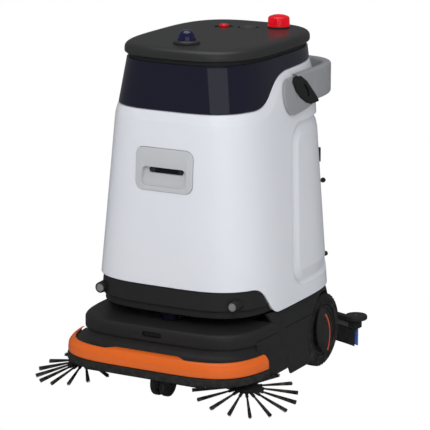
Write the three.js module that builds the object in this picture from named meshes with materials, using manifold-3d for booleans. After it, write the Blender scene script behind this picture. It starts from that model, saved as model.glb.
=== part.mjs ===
// Robotic floor scrubber: a tapered casing on a low chassis, with a bumper, side brushes and a roller
// deck in front, two drive wheels, a caster, a push handle, and a squeegee behind.
// Millimetres, +Z up. The machine drives towards -Y, and its left side is +X.
// The origin is on the floor, at the middle of the machine's box.
import * as THREE from "three";
import { mergeVertices } from "three/addons/utils/BufferGeometryUtils.js";
import Module from "manifold-3d";

const wasm = await Module();
wasm.setup();

// ---------------------------------------------------------------- driving dimensions
const gap = 1; // clearance between pieces that are fixed to each other
const runGap = 3; // clearance around pieces that move

// The casing's outline at its foot, at its shoulder and at its top. The corner is the exponent of
// the rounded-rectangle outline: the lower it is, the rounder the outline.
const casing = {
  foot: { z: 264, halfWidth: 306, front: -374, rear: 324, corner: 3.7 },
  shoulder: { z: 880, halfWidth: 252, front: -332, rear: 316, corner: 3.7 },
  top: { z: 1039, halfWidth: 233, front: -310, rear: 314, corner: 3.3 },
  wall: 4,
};
const visor = { frontEdge: 895, rearEdge: 1002, wall: 4 };
const cowl = { bottom: 292, top: 354, inset: 7, wall: 8, stepDrop: 24, stepInset: 18, rear: -160 };
const bezel = { halfWidth: 100, bottom: 650, top: 782, corner: 26, depth: 30 };
const rearDoor = { halfWidth: 222, bottom: 300, top: 800, corner: 30, thickness: 4 };
const lid = { bottom: 1052.5, top: 1087, roof: 8, wall: 6, rimInset: 10, overhang: 2 };
const sonar = { x: 236, z: 313, radius: 13, standOff: 16.5, stubWall: 4 };
const wheel = { radius: 120, width: 46, outerFace: 298, y: 168, hubRadius: 84 };
const bumper = {
  front: -490, rear: -298, halfWidth: casing.foot.halfWidth + 41, corner: 4.5,
  bottom: 92, split: 120, top: 163, thickness: 12, travel: 8, flange: 8.5, tongueHalfWidth: 110,
};
const deck = {
  rear: 330, front: -424, halfWidth: casing.foot.halfWidth + 2, corner: 5, wall: 6,
  lowerTop: 159, upperBottom: 192, upperTop: 236, shelfFront: 50, shelfSide: 32,
};
const skirt = { bottom: 42, frontBottom: 68, wall: 6, splitY: -104, rearBottom: 150 };
const sideBrush = {
  x: 288, y: -349, hubZ: 71, reach: 163, tuftStart: 26, lean: [0.15, -0.12], tufts: 16, coneDrop: 15,
};
const roller = { radius: 48, shaftRadius: 9, halfLength: 190, frontY: -145, pitch: 104, z: 49 };
const caster = { y: -378, radius: 42, width: 20, trail: 26, pairGap: 12 };
const squeegee = {
  halfWidth: 300, endY: 412, midY: 484, thickness: 26, bottom: 60, top: 96, floorGap: 2, bladeWall: 4,
};
const squeegeeHinge = { y: 304, z: 108, radius: 9, pinRadius: 5 };
const handle = { bottom: 872, top: 976, front: -220, rear: 380, halfWidth: 262, thickness: 26, corner: 4.6 };
const chassisTop = 150;
const battery = { halfWidth: 120, front: -20, rear: 196, top: 296 };
const blower = { y: -62, radius: 36, neckRadius: 26, shoulder: 250, top: 296 };
const wide = 600; // reaches past the machine on any side

// ---------------------------------------------------------------- materials
const material = (color, roughness, metalness = 0) =>
  new THREE.MeshStandardMaterial({ color, roughness, metalness });
const white = material(0xe6e7ea, 0.35);
const black = material(0x2b2b2c, 0.6);
const rubber = material(0x161616, 0.85);
const silver = material(0xb4b4b8, 0.35, 0.3);
const navy = material(0x121222, 0.08);
const orange = material(0xdf6420, 0.45);
const blue = material(0x2f62c8, 0.5);
const red = material(0xd2071b, 0.15);
const steel = material(0x9a9ca0, 0.35, 0.9);
const copper = material(0xb87a4a, 0.3, 0.9);
const tankPlastic = material(0xc9ced4, 0.4);

// ---------------------------------------------------------------- shape helpers
const V = (x, y, z) => new THREE.Vector3(x, y, z);
const X = V(1, 0, 0);
const Y = V(0, 1, 0);
const Z = V(0, 0, 1);
const lerp = (a, b, t) => a + (b - a) * t;

function solidOf(geometry) {
  const g = geometry.index ? geometry.toNonIndexed() : geometry.clone();
  for (const name of Object.keys(g.attributes)) if (name !== "position") g.deleteAttribute(name);
  const merged = mergeVertices(g, 1e-3);
  return new wasm.Manifold(
    new wasm.Mesh({
      numProp: 3,
      vertProperties: merged.attributes.position.array,
      triVerts: new Uint32Array(merged.index.array),
    }),
  );
}

function geometryOf(solid) {
  const mesh = solid.getMesh();
  const points = new Float32Array(mesh.numVert * 3);
  for (let i = 0; i < mesh.numVert; i++)
    points.set(mesh.vertProperties.subarray(i * mesh.numProp, i * mesh.numProp + 3), i * 3);
  return new THREE.BufferGeometry()
    .setAttribute("position", new THREE.BufferAttribute(points, 3))
    .setIndex(new THREE.BufferAttribute(mesh.triVerts, 1));
}

const union = (...solids) => solids.reduce((a, b) => a.add(b));
const cut = (solid, ...tools) => tools.reduce((a, b) => a.subtract(b), solid);
const mirrored = (solid) => solid.mirror([1, 0, 0]);

// A box between two corners.
function box(x0, x1, y0, y1, z0, z1) {
  const g = new THREE.BoxGeometry(x1 - x0, y1 - y0, z1 - z0);
  return solidOf(g.translate((x0 + x1) / 2, (y0 + y1) / 2, (z0 + z1) / 2));
}

// A solid of revolution about an axis through a point; the profile is [radius, height] pairs.
function turned(profile, at, axis = Z, segments = 24) {
  const g = new THREE.LatheGeometry(profile.map(([r, h]) => new THREE.Vector2(r, h)), segments);
  g.applyQuaternion(new THREE.Quaternion().setFromUnitVectors(Y, axis.clone().normalize()));
  return solidOf(g.translate(at.x, at.y, at.z));
}
const rod = (r, h0, h1, at, axis, segments) =>
  turned([[0, h0], [r, h0], [r, h1], [0, h1]], at, axis, segments);
const tube = (r0, r1, h0, h1, at, axis, segments) =>
  turned([[r0, h0], [r1, h0], [r1, h1], [r0, h1], [r0, h0]], at, axis, segments);

const asShape = (outline) =>
  Array.isArray(outline) ? new THREE.Shape(outline.map(([a, b]) => new THREE.Vector2(a, b))) : outline;
function extruded(outline, depth, curveSegments) {
  return new THREE.ExtrudeGeometry(asShape(outline), { depth, bevelEnabled: false, curveSegments });
}
// An outline in the Y-Z plane extruded along X, in the X-Z plane along Y, or in the X-Y plane along Z.
const upToX = new THREE.Matrix4().makeBasis(Y, Z, X);
const upToMinusY = new THREE.Matrix4().makeBasis(X, Z, V(0, -1, 0));
const alongX = (outline, x0, x1, curveSegments = 8) =>
  solidOf(extruded(outline, x1 - x0, curveSegments).applyMatrix4(upToX).translate(x0, 0, 0));
const alongY = (outline, y0, y1, curveSegments = 5) =>
  solidOf(extruded(outline, y1 - y0, curveSegments).applyMatrix4(upToMinusY).translate(0, y1, 0));
const alongZ = (outline, z0, z1, curveSegments = 5) =>
  solidOf(extruded(outline, z1 - z0, curveSegments).translate(0, 0, z0));

function roundedRect(x0, x1, y0, y1, r) {
  const s = new THREE.Shape();
  s.moveTo(x0 + r, y0).lineTo(x1 - r, y0).absarc(x1 - r, y0 + r, r, -Math.PI / 2, 0);
  s.lineTo(x1, y1 - r).absarc(x1 - r, y1 - r, r, 0, Math.PI / 2);
  s.lineTo(x0 + r, y1).absarc(x0 + r, y1 - r, r, Math.PI / 2, Math.PI);
  s.lineTo(x0, y0 + r).absarc(x0 + r, y0 + r, r, Math.PI, 1.5 * Math.PI);
  return s;
}
const panelShape = (p, grow) =>
  roundedRect(-p.halfWidth - grow, p.halfWidth + grow, p.bottom - grow, p.top + grow, p.corner + grow);

// One level of a loft: a superellipse from y = front to y = rear at height z.
const outlinePoints = 36;
function level(z, halfWidth, front, rear, exponent = casing.foot.corner) {
  const bend = (u) => Math.sign(u) * Math.abs(u) ** (2 / exponent);
  const middle = (front + rear) / 2;
  return Array.from({ length: outlinePoints }, (_, i) => {
    const t = (2 * Math.PI * i) / outlinePoints;
    return V(halfWidth * bend(Math.cos(t)), middle + (rear - middle) * bend(Math.sin(t)), z);
  });
}

// A closed solid through a stack of levels.
function loft(levels) {
  const n = outlinePoints;
  const index = [];
  for (let k = 0; k + 1 < levels.length; k++)
    for (let i = 0; i < n; i++) {
      const j = (i + 1) % n;
      index.push(k * n + i, k * n + j, (k + 1) * n + j, k * n + i, (k + 1) * n + j, (k + 1) * n + i);
    }
  const last = (levels.length - 1) * n;
  const flat = levels[0].map((p) => new THREE.Vector2(p.x, p.y));
  for (const [a, b, c] of THREE.ShapeUtils.triangulateShape(flat, []))
    index.push(c, b, a, last + a, last + b, last + c);
  return solidOf(new THREE.BufferGeometry().setFromPoints(levels.flat()).setIndex(index));
}

const root = new THREE.Group();
function piece(name, solid, look) {
  const mesh = new THREE.Mesh(geometryOf(solid), look);
  mesh.name = name;
  root.add(mesh);
}
function pair(name, solid, look) {
  piece(`${name}_left`, solid, look);
  piece(`${name}_right`, mirrored(solid), look);
}

// ---------------------------------------------------------------- the casing's outline at a height
function casingAt(z, inset = 0) {
  const [low, high] = z < casing.shoulder.z ? [casing.foot, casing.shoulder] : [casing.shoulder, casing.top];
  const t = (z - low.z) / (high.z - low.z);
  return {
    halfWidth: lerp(low.halfWidth, high.halfWidth, t) - inset,
    front: lerp(low.front, high.front, t) + inset,
    rear: lerp(low.rear, high.rear, t) - inset,
    corner: lerp(low.corner, high.corner, t),
  };
}
function casingLevel(z, inset = 0) {
  const s = casingAt(z, inset);
  return level(z, s.halfWidth, s.front, s.rear, s.corner);
}
function casingSolid(z0, z1, inset) {
  const heights = [z0, casing.shoulder.z, z1].filter((z) => z >= z0 && z <= z1);
  return loft(heights.map((z) => casingLevel(z, inset)));
}
// The casing's front or rear surface (side -1 or 1) at a distance x from its middle, at a height z.
function surfaceAt(x, z, side) {
  const s = casingAt(z);
  const reach = (1 - (x / s.halfWidth) ** s.corner) ** (1 / s.corner);
  return (s.front + s.rear) / 2 + ((s.rear - s.front) / 2) * reach * side;
}
const rearAt = (x, z) => surfaceAt(x, z, 1);
const casingRing = (z0, z1, outer, inner) =>
  casingSolid(z0, z1, outer).subtract(casingSolid(z0 - 5, z1 + 5, inner));

// Everything above the curve where the casing meets the visor, moved down by `drop`.
function aboveVisorEdge(drop) {
  const front = visor.frontEdge - drop;
  const rear = visor.rearEdge - drop;
  const s = new THREE.Shape();
  s.moveTo(-wide, front).lineTo(-200, front);
  s.bezierCurveTo(-90, front, -110, rear - 20, 20, rear - 12);
  s.lineTo(wide, rear).lineTo(wide, 1300).lineTo(-wide, 1300);
  return alongX(s, -wide, wide);
}
// Everything below the curve where the casing steps down behind the front cowl, moved up by `raise`.
function belowCowlEdge(raise) {
  const top = cowl.top + raise;
  const foot = casing.foot.z + raise;
  const s = new THREE.Shape();
  s.moveTo(-wide, top).lineTo(-250, top);
  s.bezierCurveTo(-180, top, -190, foot, -130, foot);
  s.lineTo(wide, foot).lineTo(wide, -100).lineTo(-wide, -100);
  return alongX(s, -wide, wide);
}

// ---------------------------------------------------------------- chassis
const plate = { bottom: 128, halfWidth: 185, front: -105, rear: 290 };
const axleBox = { y0: wheel.y - 42, y1: wheel.y + 42, z0: 62 };
const driveMotor = { radius: 26, start: 60, end: 244 };
const brushBracket = { y0: sideBrush.y - 12, y1: sideBrush.y + 14, reach: sideBrush.x - 6 };
const chassisFrame = union(
  box(-plate.halfWidth, plate.halfWidth, plate.front, plate.rear, plate.bottom, chassisTop),
  box(-150, 150, -320, plate.front + 5, plate.bottom, chassisTop),
  box(-45, 45, caster.y - 34, -315, 112, chassisTop),
  box(-brushBracket.reach, brushBracket.reach, brushBracket.y0, brushBracket.y1, plate.bottom, 142),
  box(-plate.halfWidth, plate.halfWidth, axleBox.y0, axleBox.y1, axleBox.z0, plate.bottom + 1),
);
const motorBore = rod(driveMotor.radius + gap, -wide, wide, V(0, wheel.y, wheel.radius), X, 24);
const hingeAt = V(0, squeegeeHinge.y, squeegeeHinge.z);
const hingeFoot = hingeAt.z - 14;
const hingeBracket = union(
  box(-62, 62, plate.rear - 1, hingeAt.y + 14, hingeFoot, plate.bottom + 8),
  box(-62, 62, plate.rear - 12, plate.rear, hingeFoot, plate.bottom + 1),
);
const hingeRoom = box(-40, 40, plate.rear + 2, hingeAt.y + 20, hingeFoot - 6, hingeAt.z + 15);
const hingePin = rod(squeegeeHinge.pinRadius, -60, 60, hingeAt, X, 16);
piece("chassis_frame", union(cut(chassisFrame, motorBore), cut(hingeBracket, hingeRoom), hingePin), steel);

// ---------------------------------------------------------------- casing, visor and the rim under the lid
const hollow = casingSolid(100, 1200, casing.wall);
const knobHeights = [340, 590];
const knob = { x: 238, radius: 8, head: 9, stem: 24 };
const knobStem = (z, r) => rod(r, -14, knob.stem - knob.head, V(knob.x, rearAt(knob.x, z), z), Y, 12);
const shell = cut(
  casingSolid(240, casing.top.z, 0),
  hollow,
  aboveVisorEdge(0),
  belowCowlEdge(0),
  alongY(panelShape(bezel, gap), -wide, -100),
  alongY(panelShape(rearDoor, 2), 100, wide),
  ...knobHeights.map((z) => knobStem(z, knob.radius / 2 + 0.5)),
);
piece("main_shell", shell, white);
const visorBand = cut(
  casingRing(860, casing.top.z, 1, 1 + visor.wall),
  box(-wide, wide, -wide, wide, 0, 861),
);
piece("visor", visorBand.intersect(aboveVisorEdge(-gap)), navy);

const topAt = (z, inset) => {
  const top = casing.top;
  return level(z, top.halfWidth - inset, top.front + inset, top.rear - inset, top.corner);
};
const lip = cut(
  loft([topAt(casing.top.z + gap, 9), topAt(lid.bottom - gap, 9)]),
  loft([topAt(casing.top.z - 5, 30), topAt(lid.bottom + 5, 30)]),
);
const skirtOfRim = cut(
  loft([topAt(casing.top.z - 40, 9), topAt(casing.top.z + gap + 1, 9)]),
  loft([topAt(casing.top.z - 45, 13), topAt(casing.top.z + 8, 13)]),
);
piece("tank_bay_rim", union(lip, skirtOfRim), black);

// ---------------------------------------------------------------- front cowl with the sonar stubs
const aboveCowlEdge = cut(box(-wide, wide, -wide, wide, 0, 900), belowCowlEdge(-gap));
const cowlBand = casingRing(cowl.bottom, cowl.top + 20, cowl.inset, cowl.inset + cowl.wall)
  .subtract(aboveCowlEdge);
const stepInner = cowl.stepInset + cowl.wall;
const cowlStep = casingRing(cowl.bottom - cowl.stepDrop, cowl.bottom + 4, cowl.stepInset, stepInner);
const cowlShelf = casingRing(cowl.bottom, cowl.bottom + 4, cowl.inset + 1, stepInner);
const sonarAt = V(sonar.x, surfaceAt(sonar.x, sonar.z, -1) - sonar.standOff, sonar.z);
const sonarStub = cut(
  rod(sonar.radius + sonar.stubWall, -60, 0, sonarAt, V(0, -1, 0), 16),
  casingSolid(200, 400, cowl.inset + 2),
  rod(sonar.radius + 0.5, -7, 10, sonarAt, V(0, -1, 0), 16),
);
const inFront = box(-wide, wide, -wide, cowl.rear, 0, 1000);
const cowlRing = union(cowlBand, cowlStep, cowlShelf).intersect(inFront);
piece("front_cowl", union(cowlRing, sonarStub, mirrored(sonarStub)), black);
pair("sonar", rod(sonar.radius, -6.5, -2, sonarAt, V(0, -1, 0), 16), silver);

// ---------------------------------------------------------------- front bezel with its depth camera
const slot = { z: 717, halfWidth: 60, halfHeight: 5 };
const bezelFront = casingAt(slot.z).front;
const bezelBlank = alongY(panelShape(bezel, 0), bezelFront - 30, bezelFront + bezel.depth)
  .intersect(casingSolid(600, 850, -2));
const scoopDepth = 22;
const scoop = alongX([
  [bezelFront - 60, slot.z + 7], [bezelFront + scoopDepth, slot.z + 7],
  [bezelFront + scoopDepth, slot.z - 16], [bezelFront - 6, bezel.bottom + 14],
  [bezelFront - 60, bezel.bottom + 5],
], -78, 78);
const slotCut = box(
  -slot.halfWidth, slot.halfWidth, bezelFront - 10, bezelFront + 50,
  slot.z - slot.halfHeight, slot.z + slot.halfHeight,
);
piece("front_bezel", cut(bezelBlank, scoop, slotCut), silver);
const cameraFace = bezelFront + bezel.depth + gap;
piece("depth_camera", box(-56, 56, cameraFace, cameraFace + 23, slot.z - 17, slot.z + 17), rubber);

// ---------------------------------------------------------------- lidar in the slot above the deck
const lidar = { y: -300, radius: 30, top: 288 };
const lidarBody = rod(lidar.radius, deck.upperTop + gap, lidar.top, V(0, lidar.y, 0), Z, 24);
const lidarFoot = box(-38, 38, lidar.y - 6, lidar.y + 60, deck.upperTop + gap, deck.upperTop + 14);
piece("nav_lidar", union(lidarBody, lidarFoot), navy);

// ---------------------------------------------------------------- deck cover, in two tiers
const tier = (z, of, inset = 0) =>
  level(z, of.halfWidth - inset, of.front + inset, deck.rear - inset, of.corner);
// From the bumper's outer face to the deck cover.
const deckClear = bumper.thickness + bumper.travel + 2 * gap;
const upperTier = loft([
  tier(deck.upperBottom, deck),
  tier(deck.upperTop - 12, deck),
  tier(deck.upperTop, deck, 12),
]);
const lowerTier = loft([
  tier(bumper.bottom + 10, bumper, deckClear),
  tier(deck.lowerTop, bumper, deckClear),
  level(
    deck.lowerTop + 1, bumper.halfWidth - deck.shelfSide, bumper.front + deck.shelfFront,
    deck.rear - deckClear, bumper.corner,
  ),
  tier(deck.upperBottom + 1, deck, 6),
]);
const deckHollow = union(
  loft([tier(0, bumper, deckClear + deck.wall), tier(deck.lowerTop - 8, bumper, deckClear + deck.wall)]),
  loft([tier(0, deck, deck.wall + 6), tier(deck.upperTop - 5, deck, deck.wall + 12)]),
);
const eye = { halfWidth: 33, bottom: 206, top: 222 };
const eyeHole = box(-eye.halfWidth, eye.halfWidth, deck.front - 4, deck.front + 60, eye.bottom, eye.top);
const beforeSplit = box(-wide, wide, -wide, skirt.splitY - gap, 0, 1000);
piece("deck_cover", cut(union(upperTier, lowerTier), deckHollow, eyeHole).intersect(beforeSplit), black);
piece("floor_sensor", box(
  -eye.halfWidth + gap, eye.halfWidth - gap, deck.front + 4, deck.front + 26,
  eye.bottom + gap, eye.top - gap,
), navy);

// ---------------------------------------------------------------- side skirts and wheel fairings
const body = (inset) => {
  const { z, halfWidth, front, rear } = casing.foot;
  const at = (height, shrink) =>
    level(height, halfWidth - inset - shrink, front + inset, rear + 10 - inset - shrink);
  return loft([at(10, 0), at(200, 0), at(z + 40, 20)]);
};
const skirtInside = body(skirt.wall);
const skirtRing = cut(body(0), skirtInside.translate([0, 0, 1]), skirtInside.translate([0, 0, -20]));
const wheelCentre = V(0, wheel.y, wheel.radius);
const wheelWell = rod(wheel.radius + 8, wheel.outerFace - wheel.width - 20, wide, wheelCentre, X, 32);
const chargePlate = {
  halfWidth: 60, bottom: 176, top: 236, depth: 12,
  contactInner: 12, contactOuter: 30, contactMargin: 14, contactDepth: 3,
};
const skirtSide = cut(
  skirtRing.intersect(belowCowlEdge(-gap)),
  box(-wide, 2, -wide, wide, 0, 400),
  box(-wide, wide, -wide, skirt.splitY, 0, 400),
  box(-wide, wide, -wide, wide, -10, skirt.bottom),
  box(-wide, wide, -wide, -84, -10, skirt.frontBottom),
  box(-wide, wide, wheel.y, wide, -10, skirt.rearBottom),
  box(
    -chargePlate.halfWidth - gap, chargePlate.halfWidth + gap, 200, wide,
    chargePlate.bottom - gap, chargePlate.top + gap,
  ),
  wheelWell,
);
pair("side_skirt", skirtSide, black);
const plateFace = casing.foot.rear + chargePlate.depth;
const contact = box(
  chargePlate.contactInner, chargePlate.contactOuter, plateFace - gap, plateFace + chargePlate.contactDepth,
  chargePlate.bottom + chargePlate.contactMargin, chargePlate.top - chargePlate.contactMargin,
);
piece("charge_contacts", union(
  box(
    -chargePlate.halfWidth, chargePlate.halfWidth, casing.foot.rear, plateFace,
    chargePlate.bottom, chargePlate.top,
  ),
  contact,
  mirrored(contact),
), copper);

// A fairing in front of each drive wheel: the part of a chamfered disc ahead of an arc.
const fairing = {
  y: wheel.y + 40, z: wheel.radius + 18, radius: wheel.radius - 16,
  base: wheel.outerFace + runGap, depth: 18, rimWidth: 12,
};
const fairingDisc = turned([
  [0, 0], [fairing.radius, 0], [fairing.radius, 6],
  [fairing.radius - fairing.rimWidth, fairing.depth], [0, fairing.depth],
], V(fairing.base, fairing.y, fairing.z), X, 32);
const arcAt = V(0, fairing.y - 134, fairing.z - 28);
const fairingArc = rod(wheel.radius - 8, -wide, wide, arcAt, X, 48);
pair("wheel_fairing", fairingDisc.intersect(fairingArc), black);

// ---------------------------------------------------------------- push handle with a camera in each root
const handleAt = (z, inset) =>
  level(z, handle.halfWidth - inset, handle.front + inset, handle.rear - inset, handle.corner);
const handleStart = [[-wide, 1100], [30, 1100], [30, 990], [110, 860], [110, 700], [-wide, 700]];
const handleLoop = cut(
  loft([
    handleAt(handle.bottom, 4), handleAt(handle.bottom + 8, 0),
    handleAt(handle.top - 8, 0), handleAt(handle.top, 4),
  ]),
  loft([handleAt(handle.bottom - 5, handle.thickness), handleAt(handle.top + 5, handle.thickness)]),
  casingSolid(800, casing.top.z, -gap),
  alongX(handleStart, -wide, wide),
);
const padOutline = [
  [-40, 932], [-24, 958], [0, 966], [130, 966], [170, 880], [150, 864], [20, 852], [-8, 856], [-32, 884],
];
const padReach = 10; // how far a root pad stands off the casing
const pad = alongX(padOutline, 100, 300)
  .intersect(casingSolid(800, casing.top.z, -padReach))
  .subtract(casingSolid(800, casing.top.z, -gap));
const insertOutline = (grow) => [
  [10 - grow, 966 + grow], [74 + grow, 966 + grow], [186 + grow, 872],
  [186 + grow, 866 - grow], [118 - grow, 866 - grow], [40 - grow, 910],
];
const besideCasing = (x1, reach) =>
  box(100, x1, -100, 300, 800, 1000).subtract(casingSolid(790, 1010, -reach));
const insertBase = padReach - 4;
const insertRoom = alongX(insertOutline(gap), 100, 300).intersect(besideCasing(300, insertBase));
const insert = alongX(insertOutline(0), 100, 300)
  .intersect(besideCasing(handle.halfWidth + 2, insertBase + gap));
piece("push_handle", cut(union(handleLoop, pad, mirrored(pad)), insertRoom, mirrored(insertRoom)), silver);
pair("handle_camera", insert, rubber);

// ---------------------------------------------------------------- rear door, its latch, and the service knobs
piece("rear_door", casingRing(rearDoor.bottom - 10, rearDoor.top + 10, 0, rearDoor.thickness)
  .intersect(alongY(panelShape(rearDoor, 0), 100, wide)), white);
const latch = { x: 203, z: 668, radius: 9, standOff: 9, gripLength: 46, gripWidth: 12, gripDepth: 8 };
const latchAt = V(latch.x, rearAt(latch.x, latch.z), latch.z);
const latchSlope = rearAt(latch.x - 1, latch.z) - rearAt(latch.x + 1, latch.z);
const latchOut = V(latchSlope / 2, 1, 0).normalize();
const grip = box(
  -latch.gripWidth / 2, latch.gripWidth / 2, latch.standOff - 1, latch.standOff + latch.gripDepth,
  -latch.gripLength / 2, latch.gripLength / 2,
);
const gripTurn = new THREE.Matrix4().makeRotationZ(-Math.atan2(latchOut.x, latchOut.y)).setPosition(latchAt);
piece("rear_latch", union(
  rod(latch.radius, 2, latch.standOff, latchAt, latchOut, 16),
  solidOf(geometryOf(grip).applyMatrix4(gripTurn)),
), rubber);
knobHeights.forEach((z, i) => {
  const head = rod(knob.radius, knob.stem - knob.head, knob.stem, V(knob.x, rearAt(knob.x, z), z), Y, 16);
  piece(`rear_knob_${["lower", "upper"][i]}`, union(knobStem(z, knob.radius / 2), head), rubber);
});

// ---------------------------------------------------------------- tanks, battery and drives inside the casing
const cleanTank = { bottom: 312, top: 596, inset: 40 };
const recoveryTank = { bottom: 604, top: 1020, inset: 48, front: 30 };
const tankWall = 4;
const tankLevel = (z, inset, front) => {
  const s = casingAt(z, inset);
  return level(z, s.halfWidth, s.front + front, s.rear, s.corner);
};
const tankLoft = (z0, z1, inset, front) => {
  const heights = [z0, casing.shoulder.z, z1].filter((z) => z >= z0 && z <= z1);
  return loft(heights.map((z) => tankLevel(z, inset, front)));
};
const neck = { x: 120, y: 120, radius: 26 };
piece("clean_tank", cut(
  tankLoft(cleanTank.bottom, cleanTank.top, cleanTank.inset, 0),
  tankLoft(cleanTank.bottom + tankWall, cleanTank.top - tankWall, cleanTank.inset + tankWall, 0),
  rod(neck.radius, cleanTank.top - 10, cleanTank.top + 10, V(neck.x, neck.y, 0), Z, 20),
), tankPlastic);
piece("recovery_tank", cut(
  tankLoft(recoveryTank.bottom, recoveryTank.top, recoveryTank.inset, recoveryTank.front),
  tankLoft(
    recoveryTank.bottom + tankWall, recoveryTank.top + 10, recoveryTank.inset + tankWall, recoveryTank.front,
  ),
), tankPlastic);
piece("battery_pack", box(
  -battery.halfWidth, battery.halfWidth, battery.front, battery.rear, chassisTop + gap, battery.top,
), black);
piece("vacuum_blower", turned([
  [0, chassisTop + gap], [blower.radius, chassisTop + gap], [blower.radius, blower.shoulder],
  [blower.neckRadius, blower.shoulder + 12], [blower.neckRadius, blower.top], [0, blower.top],
], V(0, blower.y, 0), Z, 20), black);
pair("drive_motor", rod(driveMotor.radius, driveMotor.start, driveMotor.end, wheelCentre, X, 24), steel);
const brushAxis = V(...sideBrush.lean, 1).normalize();
const brushHub = V(sideBrush.x, sideBrush.y, sideBrush.hubZ);
const brushMotorAt = V(sideBrush.x - 14, sideBrush.y + 4, 0);
pair("side_brush_motor", rod(9, sideBrush.hubZ + 20, plate.bottom - gap, brushMotorAt, Z, 16), steel);

// ---------------------------------------------------------------- drive wheels
const wheelAt = V(wheel.outerFace - wheel.width, wheel.y, wheel.radius);
const hubFace = wheel.width - 4;
pair("drive_wheel", turned([
  [0, -6], [14, -6], [14, 4], [wheel.hubRadius, 4], [wheel.hubRadius, hubFace],
  [wheel.hubRadius - 14, hubFace], [wheel.hubRadius - 20, hubFace - 10],
  [24, hubFace - 10], [20, hubFace], [0, hubFace],
], wheelAt, X, 24), steel);
const tyreInner = wheel.hubRadius + 0.4;
pair("drive_tyre", turned([
  [tyreInner, 2], [wheel.radius - 8, 0], [wheel.radius, 8], [wheel.radius, wheel.width - 8],
  [wheel.radius - 8, wheel.width], [tyreInner, wheel.width - 2], [tyreInner, 2],
], wheelAt, X, 40), rubber);

// ---------------------------------------------------------------- caster: a fork that swivels, and twin wheels
const casterTop = 112;
const casterAxle = V(0, caster.y + caster.trail, caster.radius);
const forkPlate = caster.pairGap / 2 - 1;
const fork = union(
  rod(30, casterTop - 16, casterTop - runGap, V(0, caster.y, 0), Z, 24),
  box(-forkPlate, forkPlate, caster.y - 16, casterAxle.y + 8, caster.radius - 8, casterTop - 12),
  rod(5, -caster.width - forkPlate, caster.width + forkPlate, casterAxle, X, 12),
);
piece("caster_fork", fork, black);
const casterWheel = (side) => {
  const inner = V(side * (caster.pairGap / 2), casterAxle.y, casterAxle.z);
  return turned([
    [6, 0], [caster.radius - 3, 0], [caster.radius, 3], [caster.radius, caster.width - 3],
    [caster.radius - 3, caster.width], [6, caster.width], [6, 0],
  ], inner, V(side, 0, 0), 24);
};
piece("caster_wheel_left", casterWheel(1), rubber);
piece("caster_wheel_right", casterWheel(-1), rubber);

// ---------------------------------------------------------------- roller deck under the chassis
const rollers = [roller.frontY, roller.frontY + roller.pitch];
const deckBox = {
  x: roller.halfLength + 4, outerX: roller.halfLength + 14,
  y0: rollers[0] - roller.radius - 6, y1: rollers[1] + roller.radius + 6,
  z0: 22, z1: roller.z + roller.radius + 8,
};
const housing = cut(
  box(-deckBox.outerX, deckBox.outerX, deckBox.y0, deckBox.y1, deckBox.z0, deckBox.z1),
  box(-deckBox.x, deckBox.x, deckBox.y0 + 4, deckBox.y1 - 4, deckBox.z0 - 5, deckBox.z1 - 6),
  ...rollers.map((y) => rod(roller.shaftRadius + 2, -wide, wide, V(0, y, roller.z), X, 16)),
);
piece("brush_deck", housing, black);
["front", "rear"].forEach((where, i) => {
  const at = V(0, rollers[i], roller.z);
  const bristles = rod(roller.radius, -roller.halfLength, roller.halfLength, at, X, 24);
  const shaft = rod(roller.shaftRadius, -deckBox.outerX - 2, deckBox.outerX + 2, at, X, 12);
  piece(`roller_${where}`, union(bristles, shaft), blue);
});
piece("brush_motor", box(
  deckBox.outerX + runGap, deckBox.outerX + 38, rollers[0] + 20, rollers[1] + 24, 40, deckBox.z1,
), steel);
const hopper = { y0: deckBox.y1 + gap, y1: deckBox.y1 + 44, z0: 14, wall: 3 };
piece("dust_hopper", cut(
  box(-deckBox.x, deckBox.x, hopper.y0, hopper.y1, hopper.z0, deckBox.z1),
  box(
    -deckBox.x + hopper.wall, deckBox.x - hopper.wall, hopper.y0 + hopper.wall, hopper.y1 - hopper.wall,
    hopper.z0 + hopper.wall, deckBox.z1 + 5,
  ),
), black);

// ---------------------------------------------------------------- side brushes
function sideBrushSolid() {
  const dome = turned([[0, -9], [30, -9], [36, -3], [34, 5], [12, 9], [12, 15], [0, 15]], V(0, 0, 0), Z, 16);
  const span = sideBrush.reach - sideBrush.tuftStart;
  const slope = Math.atan2(sideBrush.coneDrop, span);
  const length = span / Math.cos(slope);
  const tufts = Array.from({ length: sideBrush.tufts }, (_, i) => {
    const turn = (2 * Math.PI * (i + 0.5)) / sideBrush.tufts;
    const out = V(Math.cos(turn) * Math.cos(slope), Math.sin(turn) * Math.cos(slope), -Math.sin(slope));
    const start = V(Math.cos(turn) * sideBrush.tuftStart, Math.sin(turn) * sideBrush.tuftStart, -2);
    return turned([[0, 0], [5, 0], [2.5, length * 0.34], [5.5, length], [0, length]], start, out, 4);
  });
  return union(dome, ...tufts);
}
function tilted(solid, axis, at) {
  const turn = new THREE.Quaternion().setFromUnitVectors(Z, axis);
  return solidOf(geometryOf(solid).applyQuaternion(turn).translate(at.x, at.y, at.z));
}
// The brush's axis leans outwards at its foot, so the outer tips are the low ones.
pair("side_brush", tilted(sideBrushSolid(), brushAxis, brushHub), black);

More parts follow.
